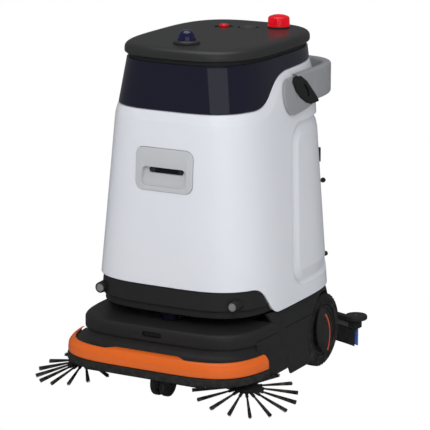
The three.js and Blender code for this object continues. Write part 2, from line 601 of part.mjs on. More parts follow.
// ---------------------------------------------------------------- bumper
const bumperFront = box(-wide, wide, -wide, bumper.rear, 0, 400);
const bumperAt = (z, inset) => tier(z, bumper, inset);
const strip = loft([
  bumperAt(bumper.bottom, 3), bumperAt(bumper.bottom + 6, -2),
  bumperAt(bumper.split - 6, -2), bumperAt(bumper.split - 0.5, 3),
]);
const trim = loft([
  bumperAt(bumper.split, 2), bumperAt(bumper.split + 8, 0),
  bumperAt(bumper.top - 5, 5), bumperAt(bumper.top, 11),
]);
const bumperCore = loft([bumperAt(0, bumper.thickness), bumperAt(400, bumper.thickness)]);
const tongue = box(
  -bumper.tongueHalfWidth, bumper.tongueHalfWidth, bumper.front + 4, bumper.front + 50,
  bumper.bottom + 1, bumper.bottom + 7,
);
piece("bumper_strip", union(cut(strip, bumperCore).intersect(bumperFront), tongue), rubber);
// The trim turns inwards over the deck's shelf, furthest in its raised middle.
const flangeInset = bumper.thickness + bumper.flange;
const flange = cut(
  loft([bumperAt(bumper.top - 1, 11), bumperAt(bumper.top + 2, 13)]),
  loft([bumperAt(0, flangeInset), bumperAt(400, flangeInset)]),
);
const raisedLip = loft([bumperAt(bumper.top + 1, 12), bumperAt(bumper.top + 6, 18)])
  .subtract(loft([bumperAt(0, 40), bumperAt(400, 40)]))
  .intersect(box(-148, 148, -wide, 0, 0, 400));
piece("bumper_trim", union(cut(trim, bumperCore), flange, raisedLip).intersect(bumperFront), orange);

// ---------------------------------------------------------------- squeegee behind the machine
function bow(x) {
  return squeegee.midY - (squeegee.midY - squeegee.endY) * (x / squeegee.halfWidth) ** 2;
}
// A band that follows the squeegee's bow, from `y0` to `y1` away from it, out to x = +-reach.
function bowed(reach, y0, y1, z0, z1) {
  const xs = Array.from({ length: 13 }, (_, i) => lerp(-reach, reach, i / 12));
  const outline = [...xs.map((x) => [x, bow(x) + y0]), ...xs.reverse().map((x) => [x, bow(x) + y1])];
  return alongZ(outline, z0, z1);
}
const halfThick = squeegee.thickness / 2;
const beamPin = V(0, squeegee.midY, 0);
piece("squeegee_beam", union(
  bowed(squeegee.halfWidth, -halfThick, halfThick, squeegee.bottom, squeegee.top),
  bowed(60, -halfThick - 14, halfThick, squeegee.bottom + 10, squeegee.top),
  rod(9, squeegee.top - 5, squeegee.top + 30, beamPin, Z, 16),
), black);
const bladeInner = halfThick - 2 - squeegee.bladeWall;
const bladeOuter = halfThick - 2;
const blade = (reach, y0, y1) => bowed(reach, y0, y1, squeegee.floorGap, squeegee.bottom - 0.5);
piece("squeegee_blade_front", blade(squeegee.halfWidth - 6, -bladeOuter, -bladeInner), rubber);
piece("squeegee_blade_rear", blade(squeegee.halfWidth, bladeInner, bladeOuter), blue);
const above = { z0: squeegee.top + 3, z1: squeegee.top + 15 }; // the layer over the beam
const endRoller = { x: squeegee.halfWidth + 2, y: squeegee.endY - 12, radius: 37 };
pair("squeegee_roller", turned([
  [0, above.z0], [endRoller.radius - 4, above.z0], [endRoller.radius, above.z0 + 4],
  [endRoller.radius, above.z1 - 4], [endRoller.radius - 4, above.z1], [0, above.z1],
], V(endRoller.x, endRoller.y, 0), Z, 20), black);
const armHalfWidth = 34;
piece("squeegee_arm", cut(
  union(
    box(-armHalfWidth, armHalfWidth, hingeAt.y, squeegee.midY - 10, above.z0, above.z1),
    rod(24, above.z0, above.z1, beamPin, Z, 24),
    rod(squeegeeHinge.radius, -armHalfWidth, armHalfWidth, hingeAt, X, 16),
  ),
  rod(squeegeeHinge.pinRadius + 0.5, -wide, wide, hingeAt, X, 16),
  rod(9.5, 0, 400, beamPin, Z, 16),
), steel);

// ---------------------------------------------------------------- lid and what it carries
const lidAt = (z, inset) => topAt(z, inset - lid.overhang);
const dome = { x: 0, y: -200, ringRadius: 42, radius: 28.5, height: 42 };
const estop = { x: -58, y: 143, radius: 15.5, recess: 30, depth: 12, travel: 5 };
const power = { x: 18, y: 166, radius: 28, recess: 33, depth: 9, travel: 3 };
const beacon = { x: 105, y: 210, radius: 36, height: 42 };
const onLid = (spot) => V(spot.x, spot.y, lid.top);
const lidSolid = cut(
  loft([
    lidAt(lid.bottom, 5), lidAt(lid.bottom + 5, 0), lidAt(lid.top - 16, 0),
    lidAt(lid.top - 6, 4), lidAt(lid.top, lid.rimInset + 4),
  ]),
  cut(
    loft([lidAt(lid.bottom - 10, lid.wall + 4), lidAt(lid.top - lid.roof, lid.wall + 4)]),
    rod(estop.recess + lid.wall, -estop.depth - lid.wall, 0, onLid(estop), Z, 24),
    rod(power.recess + lid.wall, -power.depth - lid.wall, 0, onLid(power), Z, 24),
  ),
  rod(estop.recess, -estop.depth, 10, onLid(estop), Z, 28),
  rod(power.recess, -power.depth, 10, onLid(power), Z, 28),
);
piece("lid", lidSolid, black);
piece("lidar_dome", turned([
  [0, 0.5], [dome.ringRadius, 0.5], [dome.ringRadius, 5], [dome.ringRadius - 8, 12], [dome.radius, 12],
  [dome.radius, 22], [dome.radius - 3, 32], [dome.radius - 12, 40], [0, dome.height],
], onLid(dome), Z, 28), navy);
const estopBase = 0.5 - estop.depth;
piece("estop_collar", tube(estop.radius + 0.6, estop.recess - 1, estopBase, -4, onLid(estop), Z, 28), rubber);
const estopFoot = estopBase + estop.travel + 0.5;
piece("estop_button", turned([
  [0, estopFoot], [estop.radius - 3, estopFoot], [estop.radius - 3, -3],
  [estop.radius, -2], [estop.radius, 4], [estop.radius - 3, 8], [0, 9],
], onLid(estop), Z, 24), red);
const powerFoot = power.travel + 0.5 - power.depth;
piece("power_button", turned([
  [0, powerFoot], [power.radius, powerFoot], [power.radius, -2], [power.radius - 4, 1], [0, 2],
], onLid(power), Z, 28), black);
piece("beacon_lens", turned([
  [0, 0.5], [beacon.radius, 0.5], [beacon.radius, 4], [beacon.radius - 2, 30],
  [beacon.radius - 9, 38], [0, beacon.height],
], onLid(beacon), Z, 28), red);

export default root;
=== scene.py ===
"""A robotic floor scrubber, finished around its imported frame. Metres, +Z up, front at -Y, left at +X."""
import math
from functools import partial

import bmesh
import bpy
import numpy as np
from mathutils import Matrix, Vector


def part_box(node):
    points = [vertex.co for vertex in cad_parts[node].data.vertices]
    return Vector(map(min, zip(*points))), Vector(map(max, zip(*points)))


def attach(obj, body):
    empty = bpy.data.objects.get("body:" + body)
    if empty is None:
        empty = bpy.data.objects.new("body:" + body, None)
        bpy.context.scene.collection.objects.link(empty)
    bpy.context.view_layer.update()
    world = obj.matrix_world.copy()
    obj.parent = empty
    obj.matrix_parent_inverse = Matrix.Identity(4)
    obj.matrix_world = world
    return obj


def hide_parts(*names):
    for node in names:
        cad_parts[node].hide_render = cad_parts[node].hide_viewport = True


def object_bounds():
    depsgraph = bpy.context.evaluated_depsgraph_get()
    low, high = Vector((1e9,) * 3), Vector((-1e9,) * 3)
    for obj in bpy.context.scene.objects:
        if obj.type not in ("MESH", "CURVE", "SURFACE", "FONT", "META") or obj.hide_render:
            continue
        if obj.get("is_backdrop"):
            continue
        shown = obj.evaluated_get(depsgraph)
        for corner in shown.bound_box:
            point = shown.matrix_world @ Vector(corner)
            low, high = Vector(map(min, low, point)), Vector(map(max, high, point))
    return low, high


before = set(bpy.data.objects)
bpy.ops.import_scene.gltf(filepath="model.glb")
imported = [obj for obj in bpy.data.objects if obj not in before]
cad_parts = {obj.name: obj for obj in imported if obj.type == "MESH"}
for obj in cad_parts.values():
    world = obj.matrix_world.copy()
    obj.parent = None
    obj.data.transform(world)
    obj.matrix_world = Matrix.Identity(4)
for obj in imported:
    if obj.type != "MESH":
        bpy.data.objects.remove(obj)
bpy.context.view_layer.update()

# ---------------------------------------------------------------- camera, lights and floor
# A long lens at chest height looks at the machine's front left corner. Large soft boxes stand
# round it, and a tall narrow one leaves the upright highlight that the glossy visor shows.
view_azimuth, view_elevation = math.radians(28.92), math.radians(13.6)
view_distance, view_height, view_shift = 7.663, 0.503, -0.010
to_camera = Vector((
    math.sin(view_azimuth) * math.cos(view_elevation),
    -math.cos(view_azimuth) * math.cos(view_elevation),
    math.sin(view_elevation),
))
aim = Vector((math.cos(view_azimuth), math.sin(view_azimuth), 0)) * view_shift
aim.z = view_height
camera_data = bpy.data.cameras.new("camera")
camera_data.sensor_width, camera_data.lens = 36, 200.93
camera = bpy.data.objects.new("camera", camera_data)
camera.location = aim + to_camera * view_distance
camera.rotation_euler = to_camera.to_track_quat("Z", "Y").to_euler()
bpy.context.scene.collection.objects.link(camera)
bpy.context.scene.view_settings.view_transform = "Standard"
bpy.context.scene.camera = camera


def soft_box(name, azimuth, elevation, distance, width, height, power, glossy=True):
    """An area light on a sphere round the machine; azimuth 0 is in front and 90 on its left."""
    data = bpy.data.lights.new(name, "AREA")
    data.shape, data.size, data.size_y, data.energy = "RECTANGLE", width, height, power
    light = bpy.data.objects.new(name, data)
    a, e = math.radians(azimuth), math.radians(elevation)
    way = Vector((math.sin(a) * math.cos(e), -math.cos(a) * math.cos(e), math.sin(e)))
    light.location = Vector((0, 0, 0.6)) + way * distance
    light.rotation_euler = way.to_track_quat("Z", "Y").to_euler()
    light.visible_glossy = glossy
    bpy.context.scene.collection.objects.link(light)


soft_box("key", 24, 32, 4.2, 2.6, 2.2, 86, glossy=False)
soft_box("overhead", 0, 88, 3.4, 3.0, 3.0, 34)
soft_box("left_fill", 95, 18, 4.5, 2.4, 2.6, 26, glossy=False)
soft_box("right_fill", -75, 18, 4.5, 2.2, 2.6, 30, glossy=False)
soft_box("back", 190, 28, 4.5, 2.6, 2.4, 34, glossy=False)
soft_box("strip", 36, 12, 3.8, 3.4, 2.4, 9)


def new_node(tree, kind, **values):
    """A node in any tree, with some of its inputs set by name."""
    node = tree.nodes.new(kind)
    for label, value in values.items():
        node.inputs[label.replace("_", " ")].default_value = value
    return node


world = bpy.data.worlds.new("studio")
world.use_nodes = True
sky = world.node_tree.nodes["Background"]
sky_color = (0.93, 0.945, 0.97, 1)
sky.inputs["Color"].default_value = sky_color
sky.inputs["Strength"].default_value = 0.36
backdrop = new_node(world.node_tree, "ShaderNodeBackground", Color=(1, 1, 1, 1), Strength=1.0)
mirrored_sky = new_node(world.node_tree, "ShaderNodeBackground", Color=sky_color, Strength=0.13)
ray = world.node_tree.nodes.new("ShaderNodeLightPath")
by_shine = world.node_tree.nodes.new("ShaderNodeMixShader")
by_camera = world.node_tree.nodes.new("ShaderNodeMixShader")
join = world.node_tree.links.new
join(ray.outputs["Is Glossy Ray"], by_shine.inputs[0])
join(sky.outputs[0], by_shine.inputs[1])
join(mirrored_sky.outputs[0], by_shine.inputs[2])
join(ray.outputs["Is Camera Ray"], by_camera.inputs[0])
join(by_shine.outputs[0], by_camera.inputs[1])
join(backdrop.outputs[0], by_camera.inputs[2])
join(by_camera.outputs[0], world.node_tree.nodes["World Output"].inputs["Surface"])
bpy.context.scene.world = world

floor_mesh = bpy.data.meshes.new("floor")
floor_reach = 40
floor_mesh.from_pydata([(x * floor_reach, y * floor_reach, 0) for x,
                        y in ((-1, -1), (1, -1), (1, 1), (-1, 1))], [], [(0, 1, 2, 3)])
floor = bpy.data.objects.new("floor", floor_mesh)
floor_look = bpy.data.materials.new("pale_floor")
floor_look.use_nodes = True
floor_shader = floor_look.node_tree.nodes["Principled BSDF"]
floor_shader.inputs["Base Color"].default_value = (0.92, 0.92, 0.92, 1)
floor_shader.inputs["Roughness"].default_value = 0.9
floor_mesh.materials.append(floor_look)
bpy.context.scene.collection.objects.link(floor)
floor.visible_camera = False
floor.visible_glossy = False
floor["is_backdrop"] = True

# ---------------------------------------------------------------- white casing
# One tall rotation-moulded cover, glossy and off-white. Its rear half has a soft-edged panel on
# each side, its upper edge is bevelled where the visor starts, and its foot is rounded.
casing_heights = (0.264, 0.880, 1.039)
casing_halves = (0.306, 0.252, 0.233)
casing_fronts = (-0.374, -0.332, -0.310)
casing_rears = (0.324, 0.316, 0.314)
casing_corners = (3.7, 3.7, 3.3)


def outline(half_width, front, rear, exponent, share):
    """Points of a rounded outline at given shares of its length, from +X round by the rear."""
    turn = np.linspace(0, 2 * np.pi, 6001)
    cosine, sine = np.cos(turn), np.sin(turn)
    x = half_width * np.sign(cosine) * np.abs(cosine) ** (2 / exponent)
    y = (front + rear) / 2 + (rear - front) / 2 * np.sign(sine) * np.abs(sine) ** (2 / exponent)
    run = np.concatenate([[0], np.cumsum(np.hypot(np.diff(x), np.diff(y)))])
    return np.column_stack([np.interp(share * run[-1], run, x), np.interp(share * run[-1], run, y)])


def level_ring(half_width, front, rear, exponent, z, inset, share):
    """A ring of points at height z, set in from a rounded outline."""
    xy = outline(half_width - inset, front + inset, rear - inset, exponent, share)
    return np.column_stack([xy, np.full(len(xy), z)])


def casing_points(z, inset, share):
    """The casing's surface at height z, which may differ from one share to the next."""
    levels = [
        outline(half - inset, front + inset, rear - inset, corner, share)
        for half, front, rear, corner in zip(casing_halves, casing_fronts, casing_rears, casing_corners)
    ]
    z = np.broadcast_to(np.asarray(z, float), share.shape)
    foot, shoulder, top = casing_heights
    low = ((z - foot) / (shoulder - foot))[:, None]
    high = ((z - shoulder) / (top - shoulder))[:, None]
    xy = np.where(low < 1, levels[0] * (1 - low) + levels[1] * low,
                  levels[1] * (1 - high) + levels[2] * high)
    return np.column_stack([xy, z])


def curve_heights(*points):
    """Places along Y and heights of one Bezier curve through four control points."""
    t = np.linspace(0, 1, 40)[:, None]
    a, b, c, d = (np.array(p) for p in points)
    bend = a * (1 - t) ** 3 + 3 * b * t * (1 - t) ** 2 + 3 * c * t * t * (1 - t) + d * t ** 3
    return bend[:, 0], bend[:, 1]


visor_ys, visor_zs = curve_heights((-0.200, 0.895), (-0.090, 0.895), (-0.110, 0.982), (0.020, 0.990))
visor_ys, visor_zs = np.append(visor_ys, 0.600), np.append(visor_zs, 1.002)
cowl_ys, cowl_zs = curve_heights((-0.276, 0.354), (-0.206, 0.354), (-0.216, 0.264), (-0.156, 0.264))


def edge_on_casing(ys, zs, inset, share):
    """The height, at each share, where the curve (ys, zs) meets the casing."""
    z = np.full(share.shape, zs[0])
    for _ in range(5):
        z = np.interp(casing_points(z, inset, share)[:, 1], ys, zs)
    return z


def mesh_of(vertices, faces):
    """A mesh of points and faces."""
    mesh = bpy.data.meshes.new("mesh")
    mesh.from_pydata(np.asarray(vertices, float).tolist(), [], faces)
    mesh.update()
    return mesh


def skinned(rows, looped=False):
    """A closed solid through rings of points. Looped joins the last ring to the first."""
    rows = np.asarray(rows, float)
    count, around = rows.shape[:2]
    faces = []
    for r in range(count if looped else count - 1):
        s = (r + 1) % count
        for c in range(around):
            d = (c + 1) % around
            faces.append((r * around + c, r * around + d, s * around + d, s * around + c))
    if not looped:
        faces.append(tuple(range(around - 1, -1, -1)))
        faces.append(tuple(range((count - 1) * around, count * around)))
    return mesh_of(rows.reshape(-1, 3), faces)


def rounded_rectangle(x0, x1, y0, y1, radius, steps=8):
    """A rectangle's outline with round corners, counter-clockwise."""
    points = []
    corners = ((x1 - radius, y0 + radius, -90), (x1 - radius, y1 - radius, 0),
               (x0 + radius, y1 - radius, 90), (x0 + radius, y0 + radius, 180))
    for cx, cy, start in corners:
        for k in range(steps + 1):
            a = math.radians(start + 90 * k / steps)
            points.append((cx + radius * math.cos(a), cy + radius * math.sin(a)))
    return points


def prism(points, low, high, axis):
    """An outline in the plane across an axis, drawn counter-clockwise, from low to high along it."""
    place = {
        "X": lambda a, b, h: (h, a, b),
        "Y": lambda a, b, h: (a, h, b),
        "Z": lambda a, b, h: (a, b, h),
    }[axis]
    if axis == "Y":
        points = points[::-1]
    rows = [[place(a, b, h) for a, b in points] for h in (low, high)]
    return skinned(rows)


def block(y0, z0, y1, z1, x0=-0.6, x1=0.6):
    """A box between two corners in the Y-Z plane, wider than the machine unless x0 and x1 say less."""
    return prism([(y0, z0), (y1, z0), (y1, z1), (y0, z1)], x0, x1, "X")


def applied(mesh, *add_modifiers):
    """The mesh with modifiers applied to it."""
    obj = bpy.data.objects.new("work", mesh)
    bpy.context.scene.collection.objects.link(obj)
    for add in add_modifiers:
        add(obj)
    bpy.context.view_layer.update()
    result = bpy.data.meshes.new_from_object(obj.evaluated_get(bpy.context.evaluated_depsgraph_get()))
    bpy.data.objects.remove(obj)
    return result


def joined(mesh, operation, *tools):
    """A boolean of solids: UNION, DIFFERENCE or INTERSECT."""
    helpers = []
    for tool in tools:
        helper = bpy.data.objects.new("tool", tool)
        bpy.context.scene.collection.objects.link(helper)
        helpers.append(helper)

    def add(obj):
        for helper in helpers:
            boolean = obj.modifiers.new("boolean", "BOOLEAN")
            boolean.operation, boolean.solver, boolean.object = operation, "MANIFOLD", helper

    result = applied(mesh, add)
    for helper in helpers:
        bpy.data.objects.remove(helper)
    return result


def softened(mesh, width, steps=3, angle=35):
    """Rounds every edge sharper than the angle."""
    def add(obj):
        bevel = obj.modifiers.new("bevel", "BEVEL")
        bevel.width, bevel.segments, bevel.limit_method = width, steps, "ANGLE"
        bevel.angle_limit, bevel.use_clamp_overlap = math.radians(angle), True

    return applied(mesh, add)


def mirrored(mesh):
    """The mesh's mirror image on the machine's other side."""
    copy = mesh.copy()
    copy.transform(Matrix.Diagonal((-1, 1, 1, 1)))
    copy.flip_normals()
    return copy


def add_piece(name, mesh, body, look, slot, *nodes, sharp=32):
    """Puts a finished mesh on its body, in its material, in place of the CAD nodes it stands for."""
    mesh.name = name
    mesh.materials.clear()
    mesh.materials.append(look)
    mesh.polygons.foreach_set("material_index", [0] * len(mesh.polygons))
    mesh.polygons.foreach_set("use_smooth", [True] * len(mesh.polygons))
    mesh.set_sharp_from_angle(angle=math.radians(sharp))
    obj = bpy.data.objects.new(name, mesh)
    bpy.context.scene.collection.objects.link(obj)
    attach(obj, body)
    if nodes:
        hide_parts(*nodes)
    return obj


def add_pair(name, mesh, body, look, slot, node=None, both_on_one=False, **options):
    """A left piece and its mirror image, for CAD nodes and bodies named _left and _right."""
    for side, half in (("left", mesh), ("right", mirrored(mesh))):
        rides = body if both_on_one else f"{body}_{side}"
        nodes = [f"{node}_{side}"] if node else []
        add_piece(f"{name}_{side}", half, rides, look, slot, *nodes, **options)


def node_group(name, inputs, outputs):
    """An empty shader group with named sockets, and its input and output nodes."""
    group = bpy.data.node_groups.new(name, "ShaderNodeTree")
    for label, kind, value in inputs:
        socket = group.interface.new_socket(label, in_out="INPUT", socket_type=kind)
        socket.default_value = value
    for label, kind in outputs:
        group.interface.new_socket(label, in_out="OUTPUT", socket_type=kind)
    return group, group.nodes.new("NodeGroupInput"), group.nodes.new("NodeGroupOutput")


def sum_node(tree, operation, a, b=None):
    """A maths node between sockets or numbers, in any tree; gives its output socket."""
    node = tree.nodes.new("ShaderNodeMath")
    node.operation = operation
    for index, value in enumerate((a, b)):
        if value is None:
            continue
        if isinstance(value, (int, float)):
            node.inputs[index].default_value = value
        else:
            tree.links.new(value, node.inputs[index])
    return node.outputs[0]


# Moulded plastic: a slow drift of tint and gloss, a fine grain, and dust that gathers low down.
moulded, moulded_in, moulded_out = node_group(
    "moulded_plastic",
    [
        ("Color", "NodeSocketColor", (0.8, 0.8, 0.8, 1)), ("Tint", "NodeSocketColor", (0.7, 0.7, 0.7, 1)),
        ("Roughness", "NodeSocketFloat", 0.4), ("Roughness Drift", "NodeSocketFloat", 0.05),
        ("Grain Scale", "NodeSocketFloat", 900.0), ("Dust", "NodeSocketFloat", 0.0),
    ],
    [("Color", "NodeSocketColor"), ("Roughness", "NodeSocketFloat"), ("Height", "NodeSocketFloat")],
)
place = moulded.nodes.new("ShaderNodeTexCoord")
drift = new_node(moulded, "ShaderNodeTexNoise", Scale=3.1, Detail=3)
grain = new_node(moulded, "ShaderNodeTexNoise", Detail=2)
speck = new_node(moulded, "ShaderNodeTexNoise", Scale=55, Detail=6)
tinted = moulded.nodes.new("ShaderNodeMix")
tinted.data_type = "RGBA"
height_of = moulded.nodes.new("ShaderNodeSeparateXYZ")
near_floor = new_node(moulded, "ShaderNodeMapRange", From_Min=0.34, From_Max=0.0, To_Max=1.0)
patchy = new_node(moulded, "ShaderNodeMapRange", From_Min=0.42, From_Max=0.72)
dusted = moulded.nodes.new("ShaderNodeMix")
dusted.data_type = "RGBA"
dusted.inputs[7].default_value = (0.33, 0.31, 0.28, 1)
link = moulded.links.new
for noise in (drift, grain, speck):
    link(place.outputs["Object"], noise.inputs["Vector"])
link(moulded_in.outputs["Grain Scale"], grain.inputs["Scale"])
link(drift.outputs["Fac"], tinted.inputs[0])
link(moulded_in.outputs["Color"], tinted.inputs[6])
link(moulded_in.outputs["Tint"], tinted.inputs[7])
link(place.outputs["Object"], height_of.inputs[0])
link(height_of.outputs["Z"], near_floor.inputs["Value"])
link(speck.outputs["Fac"], patchy.inputs["Value"])
dust_here = sum_node(moulded, "MULTIPLY", near_floor.outputs[0], patchy.outputs[0])
link(sum_node(moulded, "MULTIPLY", dust_here, moulded_in.outputs["Dust"]), dusted.inputs[0])
link(tinted.outputs[2], dusted.inputs[6])
swing = sum_node(moulded, "SUBTRACT", drift.outputs["Fac"], 0.5)
swung = sum_node(moulded, "MULTIPLY", swing, moulded_in.outputs["Roughness Drift"])
link(dusted.outputs[2], moulded_out.inputs["Color"])
link(sum_node(moulded, "ADD", swung, moulded_in.outputs["Roughness"]), moulded_out.inputs["Roughness"])
link(grain.outputs["Fac"], moulded_out.inputs["Height"])


def moulded_look(name, color, tint, roughness, drift=0.06, grain=900, depth=0.05, dust=0.0, **plain):
    """A material on the moulded-plastic group. The plain values go on the shader itself."""
    look = bpy.data.materials.new(name)
    look.use_nodes = True
    nodes, links = look.node_tree.nodes, look.node_tree.links
    shader = nodes["Principled BSDF"]
    surface = nodes.new("ShaderNodeGroup")
    surface.node_tree = moulded
    settings = {"Color": (*color, 1), "Tint": (*tint, 1), "Roughness": roughness, "Roughness Drift": drift,
                "Grain Scale": grain, "Dust": dust}
    for label, value in settings.items():
        surface.inputs[label].default_value = value
    bump = new_node(look.node_tree, "ShaderNodeBump", Strength=depth, Distance=0.001)
    links.new(surface.outputs["Color"], shader.inputs["Base Color"])
    links.new(surface.outputs["Roughness"], shader.inputs["Roughness"])
    links.new(surface.outputs["Height"], bump.inputs["Height"])
    links.new(bump.outputs["Normal"], shader.inputs["Normal"])
    for socket, value in plain.items():
        shader.inputs[socket.replace("_", " ")].default_value = value
    return look


gloss_white = moulded_look("gloss_white", (0.70, 0.715, 0.755), (0.655, 0.67, 0.715), 0.30, 0.05, 260,
                           0.012, Coat_Weight=0.25, Coat_Roughness=0.12)

# Columns are close together on the rear half of each side, where the panel's soft edges are.
fine_steps = np.linspace(0.0, 0.172, 150, endpoint=False)
front_steps = np.linspace(0.5, 1.0, 210, endpoint=False)
rear_steps = np.linspace(0.172, 0.327, 44)
casing_shares = np.concatenate([fine_steps, rear_steps, 0.5 - fine_steps[::-1], front_steps[1:]])
casing_foot = edge_on_casing(cowl_ys, cowl_zs, 0, casing_shares)
casing_brim = edge_on_casing(visor_ys, visor_zs, 0, casing_shares)
row_steps = np.concatenate([(0, 0.002, 0.0045), np.linspace(0.009, 0.985, 138), (0.9925, 0.9965, 1.0)])
wall_rows = np.array([
    casing_points(casing_foot + (casing_brim - casing_foot) * v, 0, casing_shares) for v in row_steps
])
around = np.roll(wall_rows, -1, axis=1) - np.roll(wall_rows, 1, axis=1)
outward = np.stack([around[..., 1], -around[..., 0]], -1)
outward /= np.linalg.norm(outward, axis=-1, keepdims=True)


def distance_to_edge(rows, edge, reach):
    """Each point's distance to a closed line of points, or `reach` where it is further."""
    far = np.full(rows.shape[:2], reach)
    for r in range(rows.shape[0]):
        near = rows[r][:, None, :] - edge[None, ::2, :]
        far[r] = np.minimum(reach, np.sqrt((near ** 2).sum(-1)).min(1))
    return far


# The bevel under the visor: a flat band that leans in towards the edge, ending in a small radius.
brim_band, brim_lean, edge_radius = 0.034, 0.0052, 0.0025
to_brim = distance_to_edge(wall_rows, wall_rows[-1], brim_band)
to_brim[-1] = 0
sink = brim_lean * (1 - to_brim / brim_band)
edge_gap = np.minimum(edge_radius, np.minimum(to_brim, np.abs(wall_rows[..., 2] - casing_foot)))
sink += edge_radius - np.sqrt(edge_radius ** 2 - (edge_radius - edge_gap) ** 2)

# The side panel: a groove that drops quickly at its outer line and rises slowly to the flat middle.
panel_front, panel_back, panel_foot, panel_head = -0.012, 0.330, 0.312, 0.822
panel_corner, groove_depth, groove_width, groove_drop = 0.075, 0.0105, 0.046, 0.009
run = np.concatenate([np.zeros((len(wall_rows), 1)), np.cumsum(
    np.linalg.norm(np.diff(wall_rows[..., :2], axis=1), axis=-1), axis=1)], axis=1)
length = run[:, -1:] + np.linalg.norm(wall_rows[:, :1, :2] - wall_rows[:, -1:, :2], axis=-1)
along = np.minimum(np.minimum(run, np.abs(run - length / 2)), length - run)
front_half = wall_rows[..., 1] < (wall_rows[..., 1].max(1) + wall_rows[..., 1].min(1))[:, None] / 2
along = np.where(front_half, -along, along)
lean = 0.10 * (wall_rows[..., 2] - 0.55)
cy, cz = (panel_front + panel_back) / 2, (panel_foot + panel_head) / 2
ay = np.abs(along - lean - cy) - ((panel_back - panel_front) / 2 - panel_corner)
az = np.abs(wall_rows[..., 2] - cz) - ((panel_head - panel_foot) / 2 - panel_corner)
inside = panel_corner - np.hypot(np.maximum(ay, 0), np.maximum(az, 0)) - np.minimum(np.maximum(ay, az), 0)
dropping = np.clip(inside / groove_drop, 0, 1)
rising = np.clip((inside - groove_drop) / (groove_width - groove_drop), 0, 1)
smooth_drop = dropping * dropping * (3 - 2 * dropping)
sink += groove_depth * smooth_drop * (1 - rising)
wall_rows[..., :2] -= outward * sink[..., None]

inner_rows = [
    casing_points(casing_brim - 0.001 - (casing_brim - casing_foot - 0.002) * v, 0.0165, casing_shares)
    for v in (0, 0.33, 0.66, 1)
]
casing_mesh = skinned(np.concatenate([wall_rows, inner_rows]), looped=True)
bezel_hole = prism(rounded_rectangle(-0.1013, 0.1013, 0.6487, 0.7833, 0.0272, 12), -0.5, -0.2, "Y")
door_hole = prism(rounded_rectangle(-0.224, 0.224, 0.298, 0.802, 0.032), 0.15, 0.5, "Y")
casing_mesh = joined(casing_mesh, "DIFFERENCE", bezel_hole, door_hole)
add_piece("casing", casing_mesh, "chassis", gloss_white, "shell_white", "main_shell", sharp=40)

# ---------------------------------------------------------------- navy visor
# A smoked acrylic band round the top, almost black and very glossy, with its edges rolled in.
# It sits a few millimetres behind the white casing's bevel.
navy_gloss = moulded_look("navy_gloss", (0.0075, 0.0068, 0.0185), (0.0062, 0.0058, 0.0150), 0.07, 0.02, 40,
                          0.004, Coat_Weight=0.6, Coat_Roughness=0.03)
band_shares = np.linspace(0, 1, 420, endpoint=False)
band_foot = edge_on_casing(visor_ys, visor_zs, 0.004, band_shares) + 0.0008
visor_inset, visor_wall, visor_roll, visor_top = 0.0048, 0.004, 0.004, 1.039
band_top = visor_top - 0.002
roll_top = band_foot + visor_roll
band_rows = []
for k in range(7):
    a = math.pi / 2 * k / 6
    roll_inset = visor_inset + visor_roll * (1 - math.sin(a))
    band_rows.append(casing_points(band_foot + visor_roll * (1 - math.cos(a)), roll_inset, band_shares))
for v in np.linspace(0, 1, 24)[1:-1]:
    band_rows.append(casing_points(roll_top + (band_top - roll_top) * v, visor_inset, band_shares))
band_rows.append(casing_points(band_top, visor_inset, band_shares))
band_rows.append(casing_points(visor_top - 0.0005, visor_inset + 0.0008, band_shares))
band_rows.append(casing_points(visor_top, visor_inset + 0.002, band_shares))
for v in (0, 0.5, 1):
    band_rows.append(casing_points(visor_top + (band_foot + 0.0005 - visor_top) * v,
                                   visor_inset + visor_wall, band_shares))
add_piece("visor_band", skinned(band_rows, looped=True), "chassis", navy_gloss, "visor_navy", "visor",
          sharp=45)

# ---------------------------------------------------------------- tank bay rim
# A black lip round the tank opening, which the lid closes on. From outside it is a shadow gap.
satin_black = moulded_look("satin_black", (0.0135, 0.0135, 0.0140), (0.0170, 0.0170, 0.0170), 0.46, 0.10,
                           1500, 0.10, 0.02, Specular_IOR_Level=0.25)
lip_shares = np.linspace(0, 1, 240, endpoint=False)


def top_ring(z, inset):
    """The casing's top outline at height z, set in by an inset."""
    return level_ring(casing_halves[2], casing_fronts[2], casing_rears[2], casing_corners[2], z, inset,
                      lip_shares)


rim_profile = [(0.999, 0.0105), (1.0500, 0.0095), (1.0512, 0.0110), (1.0512, 0.0280), (1.0500, 0.0295),
               (1.0400, 0.0300), (1.0400, 0.0130), (0.999, 0.0130)]
add_piece("bay_lip", skinned([top_ring(z, inset) for z, inset in rim_profile], looped=True),
          "chassis", satin_black, "black_plastic", "tank_bay_rim")

# ---------------------------------------------------------------- lid
# A thick hinged cover in dark satin plastic: a soft rounded rim, a flat top with two round
# recesses, and an underside that is hollow inside the rim.
lid_black = moulded_look("lid_black", (0.0215, 0.0215, 0.0215), (0.0250, 0.0250, 0.0250), 0.38, 0.06, 1300,
                         0.05, Coat_Weight=0.12, Coat_Roughness=0.18)
lid_foot, lid_top, lid_overhang = 1.0525, 1.087, 0.002
lid_profile = [
    (1.0790, 0.0600), (1.0790, 0.0110), (1.0780, 0.0100), (1.0535, 0.0100), (lid_foot, 0.0090),
    (lid_foot, 0.0046), (1.0529, 0.0026), (1.0541, 0.0011), (1.0558, 0.0003), (1.0580, 0.0), (1.0640, 0.0),
    (1.0685, 0.0003), (1.0722, 0.0012), (1.0754, 0.0027), (1.0782, 0.0048), (1.0806, 0.0076),
    (1.0826, 0.0110), (1.0841, 0.0150), (1.0853, 0.0200), (1.0861, 0.0260), (1.0867, 0.0340),
    (lid_top, 0.0450),
]
lid_mesh = skinned([top_ring(z, inset - lid_overhang) for z, inset in lid_profile])


